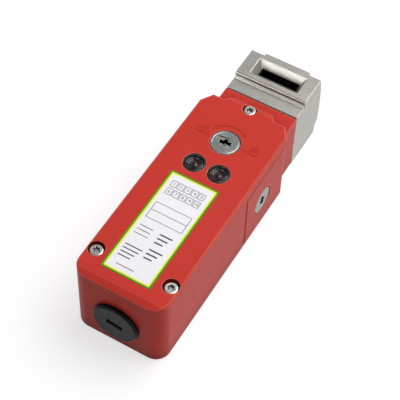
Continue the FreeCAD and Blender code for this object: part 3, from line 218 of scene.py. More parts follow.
# %% Pale sheet
SHEET_HALF = 4.0
SHEET_GAP = 0.1
SHEET_GREY = 0.42
SHEET_GLOW = 0.66
sheet_mesh = bpy.data.meshes.new("sheet")
corners = [(x * SHEET_HALF, y * SHEET_HALF, 0) for x, y in ((-1, -1), (1, -1), (1, 1), (-1, 1))]
sheet_mesh.from_pydata(corners, [], [(0, 1, 2, 3)])
sheet = bpy.data.objects.new("sheet", sheet_mesh)
sheet.location.z = cad_low.z - SHEET_GAP * MM
bpy.context.scene.collection.objects.link(sheet)
sheet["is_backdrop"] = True

paper = bpy.data.materials.new("paper")
paper.use_nodes = True
tree = paper.node_tree
tree.nodes.clear()
lift = tree.nodes.new("ShaderNodeMath")
lift.operation = "MULTIPLY"
lift.inputs[1].default_value = SHEET_GLOW
face = tree.nodes.new("ShaderNodeBsdfDiffuse")
face.inputs["Color"].default_value = (SHEET_GREY, SHEET_GREY, SHEET_GREY, 1.0)
glow = tree.nodes.new("ShaderNodeEmission")
both = tree.nodes.new("ShaderNodeAddShader")
out = tree.nodes.new("ShaderNodeOutputMaterial")
tree.links.new(rays_that_see(tree), lift.inputs[0])
tree.links.new(lift.outputs[0], glow.inputs["Strength"])
tree.links.new(face.outputs[0], both.inputs[0])
tree.links.new(glow.outputs[0], both.inputs[1])
tree.links.new(both.outputs[0], out.inputs["Surface"])
sheet_mesh.materials.append(paper)
print("sheet, m:", 2 * SHEET_HALF, "across and", SHEET_GAP, "mm under the switch")

# %% [markdown]
# Several finishes share the same effects, so each effect is a shader node group with named inputs and outputs, and
# any material can hold it with values of its own. Three helpers make an empty group, add a node to a tree, and join
# two sockets.


# %% Helpers for effects
def effect(name, inputs, outputs):
    """An empty shader node group; an input is (name, kind, value) and an output is (name, kind)."""
    group = bpy.data.node_groups.new(name, "ShaderNodeTree")
    for label, kind, value in inputs:
        socket = group.interface.new_socket(name=label, in_out="INPUT", socket_type="NodeSocket" + kind)
        socket.default_value = value
    for label, kind in outputs:
        group.interface.new_socket(name=label, in_out="OUTPUT", socket_type="NodeSocket" + kind)
    return group, group.nodes.new("NodeGroupInput"), group.nodes.new("NodeGroupOutput")


def add(tree, kind, operation=None, **values):
    """A node in a tree; each further value is for the input socket of that name."""
    node = tree.nodes.new("ShaderNode" + kind)
    if operation:
        node.operation = operation
    for key, value in values.items():
        node.inputs[key.replace("_", " ")].default_value = value
    return node


def join(tree, source, output, target, input_name):
    """Link an output of one node to an input of another."""
    tree.links.new(source.outputs[output], target.inputs[input_name])


# %% [markdown]
# A mould or a casting is never one even colour. The mottle effect makes a colour a little lighter and darker in
# broad, soft patches: a noise is turned into a factor close to one, and the colour is scaled by it. Mixing two fixed
# colours would do too, but a factor works for any colour.

# %% Effect: mottle
mottle, given, result = effect(
    "mottle", [("Color", "Color", (0.5, 0.5, 0.5, 1.0)), ("Amount", "Float", 0.1), ("Scale", "Float", 60.0)],
    [("Color", "Color")])
place = add(mottle, "TexCoord")
noise = add(mottle, "TexNoise", Detail=4.0, Roughness=0.6)
low = add(mottle, "Math", "SUBTRACT")
low.inputs[0].default_value = 1.0
high = add(mottle, "Math", "ADD")
high.inputs[0].default_value = 1.0
factor = add(mottle, "MapRange")
scaled = add(mottle, "VectorMath", "SCALE")
join(mottle, place, "Object", noise, "Vector")
join(mottle, given, "Scale", noise, "Scale")
join(mottle, given, "Amount", low, 1)
join(mottle, given, "Amount", high, 1)
join(mottle, noise, 0, factor, "Value")
join(mottle, low, 0, factor, "To Min")
join(mottle, high, 0, factor, "To Max")
join(mottle, given, "Color", scaled, 0)
join(mottle, factor, 0, scaled, "Scale")
join(mottle, scaled, 0, result, "Color")
print("the mottle effect has", len(mottle.nodes), "nodes")

# %% [markdown]
# Moulds are spark-eroded and castings are blasted, and both leave a fine pebbled skin. The skin effect gives a height
# for a Bump node and a roughness that wanders about a middle value, so that highlights break up a little.

# %% Effect: skin
skin, given, result = effect(
    "skin", [("Scale", "Float", 1500.0), ("Roughness", "Float", 0.4), ("Wander", "Float", 0.05)],
    [("Height", "Float"), ("Roughness", "Float")])
place = add(skin, "TexCoord")
noise = add(skin, "TexNoise", Detail=3.0, Roughness=0.55)
patches = add(skin, "TexNoise", Scale=180.0, Detail=3.0)
low = add(skin, "Math", "SUBTRACT")
high = add(skin, "Math", "ADD")
wandering = add(skin, "MapRange")
join(skin, place, "Object", noise, "Vector")
join(skin, place, "Object", patches, "Vector")
join(skin, given, "Scale", noise, "Scale")
join(skin, given, "Roughness", low, 0)
join(skin, given, "Wander", low, 1)
join(skin, given, "Roughness", high, 0)
join(skin, given, "Wander", high, 1)
join(skin, patches, 0, wandering, "Value")
join(skin, low, 0, wandering, "To Min")
join(skin, high, 0, wandering, "To Max")
join(skin, noise, 0, result, "Height")
join(skin, wandering, 0, result, "Roughness")
print("the skin effect has", len(skin.nodes), "nodes")

# %% [markdown]
# No moulded or cast edge is truly sharp, and the thin light line along an edge is what makes it look solid. A true
# bevel on every solid would be heavy, so the edges effect rounds only the shading, with the Bevel node. Where the
# rounded normal leaves the flat one, its mask marks the edge, and the finishes paint a paler colour there: partly
# wear, partly a painted highlight.

# %% Effect: edges
edges, given, result = effect("edges", [("Radius", "Float", 0.0004)], [("Normal", "Vector"), ("Mask", "Float")])
rounded = add(edges, "Bevel")
rounded.samples = 6
flat = add(edges, "NewGeometry")
agreement = add(edges, "VectorMath", "DOT_PRODUCT")
wear_and_highlight_mask = add(edges, "MapRange", From_Min=0.995, From_Max=0.90, To_Min=0.0, To_Max=1.0)
join(edges, given, "Radius", rounded, "Radius")
join(edges, rounded, 0, agreement, 0)
join(edges, flat, "Normal", agreement, 1)
join(edges, agreement, "Value", wear_and_highlight_mask, "Value")
join(edges, rounded, 0, result, "Normal")
join(edges, wear_and_highlight_mask, 0, result, "Mask")
print("the edges effect has", len(edges.nodes), "nodes")

# %% [markdown]
# Sockets, seams and recesses hold dirt and swallow light. This effect darkens a colour there, by the share of
# nearby space that is open: painted shade, with some dirt. Ambient occlusion finds that share from the geometry
# itself, so it needs no painted map and fits every recess. The thresholds Shut and Open say where the painted shade
# is full and where it ends.

# %% Effect: painted shade and dirt
painted_shade_and_dirt, given, result = effect(
    "painted_shade_and_dirt", [("Color", "Color", (0.5, 0.5, 0.5, 1.0)), ("Dirt", "Color", (0.02, 0.02, 0.02, 1.0)),
              ("Amount", "Float", 0.6), ("Reach", "Float", 0.0015), ("Shut", "Float", 0.25),
              ("Open", "Float", 0.75)], [("Color", "Color")])
openness = add(painted_shade_and_dirt, "AmbientOcclusion")
openness.samples = 6
openness.only_local = False
shut = add(painted_shade_and_dirt, "MapRange")
share = add(painted_shade_and_dirt, "Math", "MULTIPLY")
mixed = painted_shade_and_dirt.nodes.new("ShaderNodeMix")
mixed.data_type = "RGBA"
join(painted_shade_and_dirt, given, "Reach", openness, "Distance")
join(painted_shade_and_dirt, openness, "AO", shut, "Value")
join(painted_shade_and_dirt, given, "Open", shut, "From Min")
join(painted_shade_and_dirt, given, "Shut", shut, "From Max")
join(painted_shade_and_dirt, shut, 0, share, 0)
join(painted_shade_and_dirt, given, "Amount", share, 1)
join(painted_shade_and_dirt, share, 0, mixed, "Factor")
painted_shade_and_dirt.links.new(given.outputs["Color"], mixed.inputs[6])
painted_shade_and_dirt.links.new(given.outputs["Dirt"], mixed.inputs[7])
painted_shade_and_dirt.links.new(mixed.outputs[2], result.inputs["Color"])
print("the grime effect has", len(painted_shade_and_dirt.nodes), "nodes")

# %% [markdown]
# A lathe leaves fine rings round its axis. The rings effect measures the distance from a centre, leaves the axis out
# of the measure, and turns it into waves for a Bump node. A little noise keeps the rings from looking printed.

# %% Effect: rings
rings, given, result = effect(
    "rings", [("Centre", "Vector", (0.0, 0.0, 0.0)), ("Across", "Vector", (1.0, 1.0, 0.0)),
              ("Pitch", "Float", 0.00035)], [("Height", "Float")])
place = add(rings, "TexCoord")
from_centre = add(rings, "VectorMath", "SUBTRACT")
across = add(rings, "VectorMath", "MULTIPLY")
radius = add(rings, "VectorMath", "LENGTH")
count = add(rings, "Math", "DIVIDE")
angle = add(rings, "Math", "MULTIPLY")
angle.inputs[1].default_value = 2 * math.pi
wave = add(rings, "Math", "SINE")
noise = add(rings, "TexNoise", Scale=500.0, Detail=2.0)
uneven = add(rings, "Math", "MULTIPLY")
join(rings, place, "Object", from_centre, 0)
join(rings, given, "Centre", from_centre, 1)
join(rings, from_centre, 0, across, 0)
join(rings, given, "Across", across, 1)
join(rings, across, 0, radius, 0)
join(rings, radius, "Value", count, 0)
join(rings, given, "Pitch", count, 1)
join(rings, count, 0, angle, 0)
join(rings, angle, 0, wave, 0)
join(rings, place, "Object", noise, "Vector")
join(rings, wave, 0, uneven, 0)
join(rings, noise, 0, uneven, 1)
join(rings, uneven, 0, result, "Height")
print("the rings effect has", len(rings.nodes), "nodes")

# %% [markdown]
# Every finish starts the same way. Its colour is mottled, paler along the edges, which is wear and painted highlight,
# and darker in the recesses, which is dirt and painted shade. Its roughness wanders, and its normal is rounded at the
# edges and pebbled by a Bump node. One helper builds that, so a finish states only its own values. Values that are
# the same all over are set on the shader's own sockets.

# %% Helper for finishes
PLASTIC_SHINE = 0.085
POLISH = 0.5
SHADE_AND_DIRT_SHARE = 0.15


def place_effect(tree, group, **values):
    """An effect in a material, with its input values."""
    node = tree.nodes.new("ShaderNodeGroup")
    node.node_tree = group
    for key, value in values.items():
        node.inputs[key].default_value = value
    return node


def finish(name, color, roughness, wander=0.05, metallic=0.0, spread=0.06, patch=60.0, grain=1500.0, depth=0.012,
           edge=0.3, wear_and_highlight=0.0, wear_and_highlight_color=(1.0, 1.0, 1.0), shade_and_dirt=0.5, reach=1.5, open_from=0.75,
           shine=PLASTIC_SHINE):
    """A material; edge, depth and reach are in millimetres."""
    material = bpy.data.materials.new(name)
    material.use_nodes = True
    tree = material.node_tree
    shader = tree.nodes["Principled BSDF"]
    shader.inputs["Metallic"].default_value = metallic
    if not metallic:
        shader.inputs["Specular IOR Level"].default_value = shine
    tint = place_effect(tree, mottle, Color=(*color, 1.0), Amount=spread, Scale=patch)
    pebble = place_effect(tree, skin, Scale=grain, Roughness=roughness, Wander=wander)
    corner = place_effect(tree, edges, Radius=edge * MM)
    # The darker colour that goes into the recesses: painted shade, with some dirt.
    dark = tuple(SHADE_AND_DIRT_SHARE * c for c in color)
    shaded_and_soiled = place_effect(tree, painted_shade_and_dirt, Dirt=(*dark, 1.0), Amount=shade_and_dirt, Reach=reach * MM, Open=open_from)
    bump = add(tree, "Bump", Strength=1.0, Distance=depth * MM)
    amount = add(tree, "Math", "MULTIPLY")
    amount.inputs[1].default_value = wear_and_highlight
    # A paler colour along the edges: painted highlight, with some wear.
    wear_and_highlight_mix = tree.nodes.new("ShaderNodeMix")
    wear_and_highlight_mix.data_type = "RGBA"
    wear_and_highlight_mix.inputs[7].default_value = (*wear_and_highlight_color, 1.0)
    join(tree, corner, "Mask", amount, 0)
    join(tree, amount, 0, wear_and_highlight_mix, "Factor")
    tree.links.new(tint.outputs["Color"], wear_and_highlight_mix.inputs[6])
    tree.links.new(wear_and_highlight_mix.outputs[2], shaded_and_soiled.inputs["Color"])
    join(tree, shaded_and_soiled, "Color", shader, "Base Color")
    join(tree, pebble, "Roughness", shader, "Roughness")
    join(tree, pebble, "Height", bump, "Height")
    join(tree, corner, "Normal", bump, "Normal")
    join(tree, bump, "Normal", shader, "Normal")
    return material


# %% [markdown]
# The case and its lid are moulded in signal red with a low gloss. The plastic is filled with glass fibre, so it is
# slightly cloudy, and along its edges the colour is painted a little paler, partly wear from handling and partly a
# painted highlight. A flat red would look like paint, so the mottle is broad and weak, and the skin is very fine. The
# painted shade of this finish reaches far, so that the neck between the lid and the head, and the foot of each wall,
# are painted in a soft shade.

# %% Red case
red_plastic = finish("red_plastic", (0.580, 0.042, 0.029), 0.40, wander=0.06, spread=0.06, patch=45.0,
                     grain=1500.0, depth=0.015, edge=0.8, wear_and_highlight=0.75, wear_and_highlight_color=(0.85, 0.25, 0.19), shade_and_dirt=0.65,
                     reach=14.0, open_from=1.0)
print("red finish made with", len(red_plastic.node_tree.nodes), "nodes")

# %% [markdown]
# The other plastics are the blanking plug, the contact blocks and the small mouldings inside. They share the helper.
# The plug is a coarse-grained black, grey on its face and near black on its rim, and the winding is wrapped in yellow
# tape.

# %% Other plastics and rubber
black_plastic = finish("black_plastic", (0.058, 0.056, 0.058), 0.50, wander=0.08, spread=0.2, patch=420.0,
                       grain=1200.0, depth=0.04, edge=0.3, wear_and_highlight=0.10, wear_and_highlight_color=(0.10, 0.10, 0.10), shade_and_dirt=0.9)
gloss_black = finish("gloss_black", (0.006, 0.006, 0.007), 0.16, wander=0.04, spread=0.15, patch=150.0,
                     grain=2400.0, depth=0.002, edge=0.15, shine=POLISH)
ivory_plastic = finish("ivory_plastic", (0.66, 0.62, 0.50), 0.45, grain=1500.0)
winding_tape = finish("winding_tape", (0.62, 0.42, 0.05), 0.30, spread=0.12, patch=300.0, grain=900.0)
board_green = finish("board_green", (0.02, 0.16, 0.06), 0.30, spread=0.12, patch=500.0, grain=1200.0)
black_rubber = finish("black_rubber", (0.018, 0.018, 0.019), 0.62, spread=0.15, patch=200.0, grain=1300.0)
print("finishes so far:", len(bpy.data.materials))

# %% [markdown]
# The head is an investment casting in stainless steel, blasted to a satin skin. The discs and screws are turned from
# bar and are smoother. Metal gets its look from what it mirrors, so its own colour is plain and its roughness does
# the work.

# %% Metals
cast_stainless = finish("cast_stainless", (0.375, 0.362, 0.335), 0.36, metallic=1.0, spread=0.20, patch=420.0,
                        grain=900.0, depth=0.06, edge=0.7, wear_and_highlight=0.38, wear_and_highlight_color=(0.90, 0.89, 0.85), shade_and_dirt=0.1,
                        reach=0.8)
stainless = finish("stainless", (0.62, 0.61, 0.58), 0.22, metallic=1.0, spread=0.10, patch=400.0, grain=1500.0,
                   depth=0.008, edge=0.2, wear_and_highlight=0.3, wear_and_highlight_color=(0.90, 0.90, 0.87), shade_and_dirt=0.9, reach=1.6)
zinc_steel = finish("zinc_steel", (0.66, 0.66, 0.63), 0.20, metallic=1.0, spread=0.12, patch=400.0, depth=0.006,
                    edge=0.25, wear_and_highlight=0.5, wear_and_highlight_color=(0.90, 0.90, 0.87), shade_and_dirt=0.95, reach=1.6)
spring_steel = finish("spring_steel", (0.42, 0.42, 0.42), 0.28, metallic=1.0, patch=400.0, depth=0.004)
brass = finish("brass", (0.66, 0.46, 0.17), 0.32, metallic=1.0, spread=0.08, patch=260.0, depth=0.006)
print("finishes so far:", len(bpy.data.materials))

# %% [markdown]
# Light hardly reaches the inside of the head, a key socket or the slot of the plug, so they look black. The same
# effect, with a reach as long as the opening is deep, stands last before the colour of these finishes and paints
# that shade in black. Faces outside are open enough to keep their own colour.

# %% Dark openings, painted black
DEEP_BLACK = (0.004, 0.004, 0.004, 1.0)


def paint_deep_shade(material, reach, shut, open_from):
    """Paint the deep places of a finish black, as painted shade; the reach is in millimetres."""
    tree = material.node_tree
    deep = place_effect(tree, painted_shade_and_dirt, Dirt=DEEP_BLACK, Amount=1.0, Reach=reach * MM, Shut=shut, Open=open_from)
    deep.name = "deep"
    shader = tree.nodes["Principled BSDF"]
    last = shader.inputs["Base Color"].links[0].from_socket
    tree.links.new(last, deep.inputs["Color"])
    join(tree, deep, "Color", shader, "Base Color")


paint_deep_shade(cast_stainless, 14.0, 0.22, 0.42)
paint_deep_shade(stainless, 3.0, 0.20, 0.40)
paint_deep_shade(black_plastic, 3.0, 0.45, 0.70)
dark = [m for m in (cast_stainless, stainless, black_plastic) if "deep" in m.node_tree.nodes]
print("finishes with dark openings:", len(dark))

# %% [markdown]
# The indicator windows look black until they light up. The lens is smoked plastic, dark and polished. It could be
# clear with real transmission, but the chamber behind it is dark, so a deep colour under a polish looks the same and
# stays the same in every viewer.

# %% Windows and lamps
smoked_lens = finish("smoked_lens", (0.022, 0.006, 0.010), 0.08, wander=0.03, spread=0.35, patch=260.0,
                     grain=2400.0, depth=0.002, edge=0.1, shine=0.35)
lamp_green = finish("lamp_green", (0.03, 0.32, 0.08), 0.25, spread=0.08, patch=300.0, depth=0.004)
lamp_red = finish("lamp_red", (0.42, 0.03, 0.02), 0.25, spread=0.08, patch=300.0, depth=0.004)
print("finishes so far:", len(bpy.data.materials))

# %% [markdown]
# Each solid of the construction names the finish that it is made in. The record of the part has that list, so the
# materials are handed out from it, and no piece is forgotten.

# %% Hand out the finishes
finishes = {"red_plastic": red_plastic, "black_plastic": black_plastic, "gloss_black": gloss_black,
            "ivory_plastic": ivory_plastic, "winding_tape": winding_tape, "board_green": board_green,
            "black_rubber": black_rubber, "cast_stainless": cast_stainless, "stainless": stainless,
            "zinc_steel": zinc_steel, "spring_steel": spring_steel, "brass": brass, "smoked_lens": smoked_lens,
            "lamp_green": lamp_green, "lamp_red": lamp_red}
for piece in frame["record"]["subparts"]:
    mesh = nodes[piece["node"]].data
    mesh.materials.clear()
    mesh.materials.append(finishes[piece["material_slot"]])

# %% [markdown]
# New pieces are made in mesh code. Two helpers end each one's making: the first turns a bmesh into an object, and
# the second gives it its finish and the body that it rides on.

# %% Helpers for pieces
SHARP = math.radians(24)


def mark_sharp(form):
    """Make a bmesh smooth but for its sharp edges."""
    for face in form.faces:
        face.smooth = True
    for line in form.edges:
        line.smooth = len(line.link_faces) == 2 and line.calc_face_angle() < SHARP


def solid(name, form):
    """An object from a bmesh."""
    bmesh.ops.recalc_face_normals(form, faces=form.faces)
    mark_sharp(form)
    mesh = bpy.data.meshes.new(name)
    form.to_mesh(mesh)
    form.free()
    piece = bpy.data.objects.new(name, mesh)
    bpy.context.scene.collection.objects.link(piece)
    return piece


def dress(piece, material, body):
    """Finish and body of a new piece."""
    piece.data.materials.append(material)
    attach(piece, body)
    return piece


def add_plate(form, outline, z0, z1):
    """A flat plate between two heights, from its outline in millimetres."""
    low = [form.verts.new(mm(x, y, z0)) for x, y in outline]
    high = [form.verts.new(mm(x, y, z1)) for x, y in outline]
    form.faces.new(low)
    form.faces.new(high)
    for n, vert in enumerate(low):
        m = (n + 1) % len(low)
        form.faces.new([vert, low[m], high[m], high[n]])


# %% [markdown]
# The label and the moulded marks stand a hair above the face of the lid. In the construction that face is the highest
# plane of all, and nothing may stand outside it. So a copy of the lid stands for the solid, with its top face let
# down by the height of the marks: the marks now end where the construction ends.

# %% Lid with a lowered face
MARK_H = 0.14
FACE = TOP - MARK_H
SAME_LEVEL = 0.01  # a point this near the top belongs to the top face
lid = bpy.data.objects.new("lid_shell", nodes["lid"].data.copy())
bpy.context.scene.collection.objects.link(lid)
for point in lid.data.vertices:
    if point.co.z > lid_high.z - SAME_LEVEL * MM:
        point.co.z = FACE * MM
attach(lid, "case")
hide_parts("lid")
print("face of the lid, mm:", round(FACE, 2))

# %% [markdown]
# The label is a printed foil, glued to the lid: a white field inside a yellow line inside a green border. It is
# three thin plates with rounded corners, each a hair higher than the last, because the edge of real ink is crisp
# where a painted texture would blur.

# %% Label plates
LABEL_MID = -0.5
LABEL_HALF = 13.6
LABEL_FROM = 9.0
LABEL_TO = 75.2
GREEN_LINE = 0.85
YELLOW_LINE = 0.85
LABEL_CORNER = 0.9
LABEL_T = 0.10
INK_T = 0.012


def rounded_outline(inset, radius, steps=6):
    """The label's outline, inset from its edge, with rounded corners."""
    x0, x1 = LABEL_MID - LABEL_HALF + inset, LABEL_MID + LABEL_HALF - inset
    y0, y1 = PLUG_END + LABEL_FROM + inset, PLUG_END + LABEL_TO - inset
    outline = []
    for cx, cy, start in ((x1 - radius, y1 - radius, 0), (x0 + radius, y1 - radius, 90),
                          (x0 + radius, y0 + radius, 180), (x1 - radius, y0 + radius, 270)):
        for n in range(steps + 1):
            a = math.radians(start + 90 * n / steps)
            outline.append((cx + radius * math.cos(a), cy + radius * math.sin(a)))
    return outline


ink_green = finish("ink_green", (0.035, 0.33, 0.022), 0.35, spread=0.05, patch=200.0, depth=0.002, edge=0.03)
ink_yellow = finish("ink_yellow", (0.84, 0.86, 0.045), 0.35, spread=0.04, patch=200.0, depth=0.002, edge=0.03)
label_white = finish("label_white", (0.925, 0.915, 0.95), 0.32, spread=0.02, patch=120.0, depth=0.002, edge=0.03)
for name, material, inset, z0, z1 in (
        ("label_border", ink_green, 0.0, 0.0, LABEL_T),
        ("label_line", ink_yellow, GREEN_LINE, LABEL_T, LABEL_T + INK_T),
        ("label_field", label_white, GREEN_LINE + YELLOW_LINE, LABEL_T + INK_T, LABEL_T + 2 * INK_T)):
    form = bmesh.new()
    add_plate(form, rounded_outline(inset, LABEL_CORNER - inset / 3), FACE + z0, FACE + z1)
    dress(solid(name, form), material, "case")
print("label, mm:", 2 * LABEL_HALF, "by", round(LABEL_TO - LABEL_FROM, 1))

# %% [markdown]
# A maker would print names and ratings here. This part is plain, so the label has what any terminal plan has: ten
# numbered boxes for the ten clamps under the lid, two fields for the fitter's notes, and ruled lines. All rules are
# one mesh of thin bars, because a hundred separate objects would only slow the file down.

# %% Ruled print
ink_black = finish("ink_black", (0.045, 0.045, 0.05), 0.40, spread=0.10, patch=400.0, depth=0.002, edge=0.02)
RULE_Z = FACE + LABEL_T + 2 * INK_T
RULE = 0.28


def bar(form, x0, x1, y0, y1):
    """A printed bar; x from the label's middle and y from the plug end."""
    box = [(LABEL_MID + x, PLUG_END + y) for x, y in ((x0, y0), (x1, y0), (x1, y1), (x0, y1))]
    add_plate(form, box, RULE_Z, RULE_Z + INK_T)


def frame_box(form, x0, x1, y0, y1, rule=RULE):
    """Four bars round a printed field."""
    bar(form, x0, x1, y0, y0 + rule)
    bar(form, x0, x1, y1 - rule, y1)
    bar(form, x0, x0 + rule, y0 + rule, y1 - rule)
    bar(form, x1 - rule, x1, y0 + rule, y1 - rule)


# Each row of lines: left end, right end, height of the first, thickness, pitch, shortening and count.
LINES = [(-10.0, -2.5, 38.5, 0.4, 2.6, 0.0, 3), (1.5, 8.5, 38.0, 0.8, 2.6, 1.2, 3),
         (1.5, 9.0, 28.0, 0.8, 2.6, 1.5, 3), (-10.0, -0.5, 25.4, 0.6, 2.3, 0.9, 4),
         (-8.0, 2.0, 13.6, 0.4, 0.0, 0.0, 1)]
CLAMP_PITCH, CLAMP_GAP, CLAMP_HIGH = 3.9, 0.5, 4.0
FIRST_CLAMP, ROW_PITCH = (-9.75, 66.0), 5.2
FIELD = (-10.2, 10.2, 44.0, 54.5)
FIELD_SPLIT = (49.1, 49.4)
form = bmesh.new()
clamp_places = [(FIRST_CLAMP[0] + CLAMP_PITCH * (n % 5), FIRST_CLAMP[1] - ROW_PITCH * (n // 5)) for n in range(10)]
for x, y in clamp_places:
    frame_box(form, x, x + CLAMP_PITCH - CLAMP_GAP, y, y + CLAMP_HIGH)
frame_box(form, *FIELD)
bar(form, *FIELD[:2], *FIELD_SPLIT)
for x0, x1, y, thick, pitch, shorter, count in LINES:
    for n in range(count):
        bar(form, x0, x1 - shorter * n, y - pitch * n, y - pitch * n + thick)
dress(solid("label_rules", form), ink_black, "case")

# %% [markdown]
# The numbers of the clamps are the only lettering. Blender's own font draws them, and each one is turned into a mesh
# and joined to the others, so that the label stays one light piece.

# %% Clamp numbers
DIGIT = 2.5


def digit_mesh(text, size, thick):
    """A mesh of a short text, centred on the origin, sizes in metres."""
    curve = bpy.data.curves.new("digits", "FONT")
    curve.body = text
    curve.size = size
    curve.extrude = thick / 2
    curve.resolution_u = 3
    curve.align_x = "CENTER"
    curve.align_y = "CENTER"
    holder = bpy.data.objects.new("digits", curve)
    bpy.context.scene.collection.objects.link(holder)
    bpy.context.view_layer.update()
    mesh = bpy.data.meshes.new_from_object(holder.evaluated_get(bpy.context.evaluated_depsgraph_get()))
    bpy.data.objects.remove(holder)
    return mesh


form = bmesh.new()
for n, (x, y) in enumerate(clamp_places):
    digits = digit_mesh(str(n + 1), DIGIT * MM, INK_T * MM)
    middle_x = LABEL_MID + x + (CLAMP_PITCH - CLAMP_GAP) / 2
    digits.transform(Matrix.Translation(mm(middle_x, PLUG_END + y + CLAMP_HIGH / 2, RULE_Z + INK_T / 2)))
    form.from_mesh(digits)
dress(solid("label_numbers", form), ink_black, "case")
print("clamps numbered:", len(clamp_places))

# %% [markdown]
# Round the top release the mould has raised marks: an arc with an arrow head at each end for the way that the key
# turns, an open padlock at one end and a shut one at the other, and a dash beside the disc for each. They stand only
# a seventh of a millimetre high and are a shade darker than the lid, so they show faintly.

# %% Moulded marks
MARK_W = 0.9
MARK_FOOT = FACE - 0.02
ARC_R, ARC_FROM, ARC_TO = 11.2, 62, 138
HEAD_HALF, HEAD_TURN = 1.3, 14
LOCK_W, LOCK_H, LOCK_LINE = 4.6, 3.4, 0.6
SHACKLE_R, SHACKLE_GAP = 1.5, 0.2
LOCK_AWAY, LOCK_LOW, LOCK_OPEN = 15.4, 0.2, 1.9
DASH_FROM, DASH_TO, DASH_W = 9.6, 12.2, 0.5


def arc_band(form, cx, cy, radius, width, start, end, steps=24):
    """A raised band along an arc, angles in degrees."""
    outline = []
    for r, angles in ((radius + width / 2, range(steps + 1)), (radius - width / 2, range(steps, -1, -1))):
        for n in angles:
            a = math.radians(start + (end - start) * n / steps)
            outline.append((cx + r * math.cos(a), cy + r * math.sin(a)))
    for n in range(steps):
        quad = [outline[n], outline[n + 1], outline[-2 - n], outline[-1 - n]]
        add_plate(form, quad, MARK_FOOT, TOP)


def arrow_head(form, cx, cy, radius, angle, way):
    """A raised arrow head at the end of an arc."""
    a, b = math.radians(angle), math.radians(angle + way * HEAD_TURN)
    tip = (cx + radius * math.cos(b), cy + radius * math.sin(b))
    base = [(cx + (radius + s) * math.cos(a), cy + (radius + s) * math.sin(a)) for s in (HEAD_HALF, -HEAD_HALF)]
    add_plate(form, [tip, base[0], base[1]], MARK_FOOT, TOP)


def padlock(form, cx, cy, lift):
    """The outline of a padlock; a lifted shackle is open."""
    w, h, t = LOCK_W, LOCK_H, LOCK_LINE
    for x0, x1, y0, y1 in ((-w / 2, w / 2, 0, t), (-w / 2, w / 2, h - t, h), (-w / 2, t - w / 2, t, h - t),
                           (w / 2 - t, w / 2, t, h - t)):
        quad = [(cx + x, cy + y) for x, y in ((x0, y0), (x1, y0), (x1, y1), (x0, y1))]
        add_plate(form, quad, MARK_FOOT, TOP)
    arc_band(form, cx + lift, cy + h + SHACKLE_GAP, SHACKLE_R, t, 0, 180, 12)


red_mark = finish("red_mark", (0.51, 0.034, 0.023), 0.40, spread=0.06, patch=45.0, grain=1500.0, edge=0.12,
                  wear_and_highlight=0.15, wear_and_highlight_color=(0.80, 0.20, 0.15), shade_and_dirt=0.0)
form = bmesh.new()
centre_x, centre_y = top_release.x / MM, top_release.y / MM
arc_band(form, centre_x, centre_y, ARC_R, MARK_W, ARC_FROM, ARC_TO)
arrow_head(form, centre_x, centre_y, ARC_R, ARC_TO, 1)
arrow_head(form, centre_x, centre_y, ARC_R, ARC_FROM, -1)
padlock(form, centre_x - LOCK_AWAY, centre_y - LOCK_LOW, LOCK_OPEN)
padlock(form, centre_x + LOCK_AWAY, centre_y - LOCK_LOW, 0.0)
for side in (-1, 1):
    x0, x1 = sorted((centre_x + side * DASH_FROM, centre_x + side * DASH_TO))
    dash = [(x0, centre_y), (x1, centre_y), (x1, centre_y + DASH_W), (x0, centre_y + DASH_W)]
    add_plate(form, dash, MARK_FOOT, TOP)
dress(solid("moulded_marks", form), red_mark, "case")
print("height of the marks, mm:", MARK_H)

# %% [markdown]
# The windows, the plug and the key releases are turned pieces. Such a piece is a profile carried round an axis, so
# one helper makes them all from a short list of radius and depth, with the outer face at depth zero. A second helper
# cuts a socket or a slot into a piece with a Boolean modifier and keeps its result as plain mesh. A third turns the
# finished mesh to face up, sideways or to the plug end, and moves it there.


# %% Helpers for turned pieces
def turned_form(profile, parts=64):
    """A closed bmesh from a profile of (radius, depth) in millimetres, turned about Z."""
    form = bmesh.new()
    loops = []
    for r, z in profile:
        if r == 0:
            loops.append([form.verts.new(mm(0, 0, z))])
            continue
        angles = [2 * math.pi * n / parts for n in range(parts)]
        loops.append([form.verts.new(mm(r * math.cos(a), r * math.sin(a), z)) for a in angles])
    for inner, outer in zip(loops, loops[1:]):
        for n in range(parts):
            m = (n + 1) % parts
            corners = [inner[n % len(inner)], inner[m % len(inner)], outer[m % len(outer)], outer[n % len(outer)]]
            form.faces.new(list(dict.fromkeys(corners)))
    bmesh.ops.remove_doubles(form, verts=form.verts, dist=0.0001 * MM)
    return form


def cut_away(piece, tool):
    """Cut one piece with another, and drop the tool."""
    modifier = piece.modifiers.new("cut", "BOOLEAN")
    modifier.operation = "DIFFERENCE"
    modifier.solver = "EXACT"
    modifier.object = tool
    bpy.context.view_layer.update()
    result = bpy.data.meshes.new_from_object(piece.evaluated_get(bpy.context.evaluated_depsgraph_get()))
    piece.modifiers.clear()
    piece.data = result
    bpy.data.objects.remove(tool)
    form = bmesh.new()
    form.from_mesh(result)
    mark_sharp(form)
    form.to_mesh(result)
    form.free()


def set_down(piece, place, axis=None):
    """Turn a finished piece by a quarter about an axis and move it to its place."""
    turn = Matrix.Rotation(math.radians(90), 4, axis) if axis else Matrix.Identity(4)
    piece.data.transform(Matrix.Translation(place) @ turn)


# %% [markdown]
# An indicator window is a glossy black bezel with a rounded rim and a step, and a smoked lens with a small dome in its
# middle, where the light comes through. The fine steps catch thin highlights, as the real moulding does.

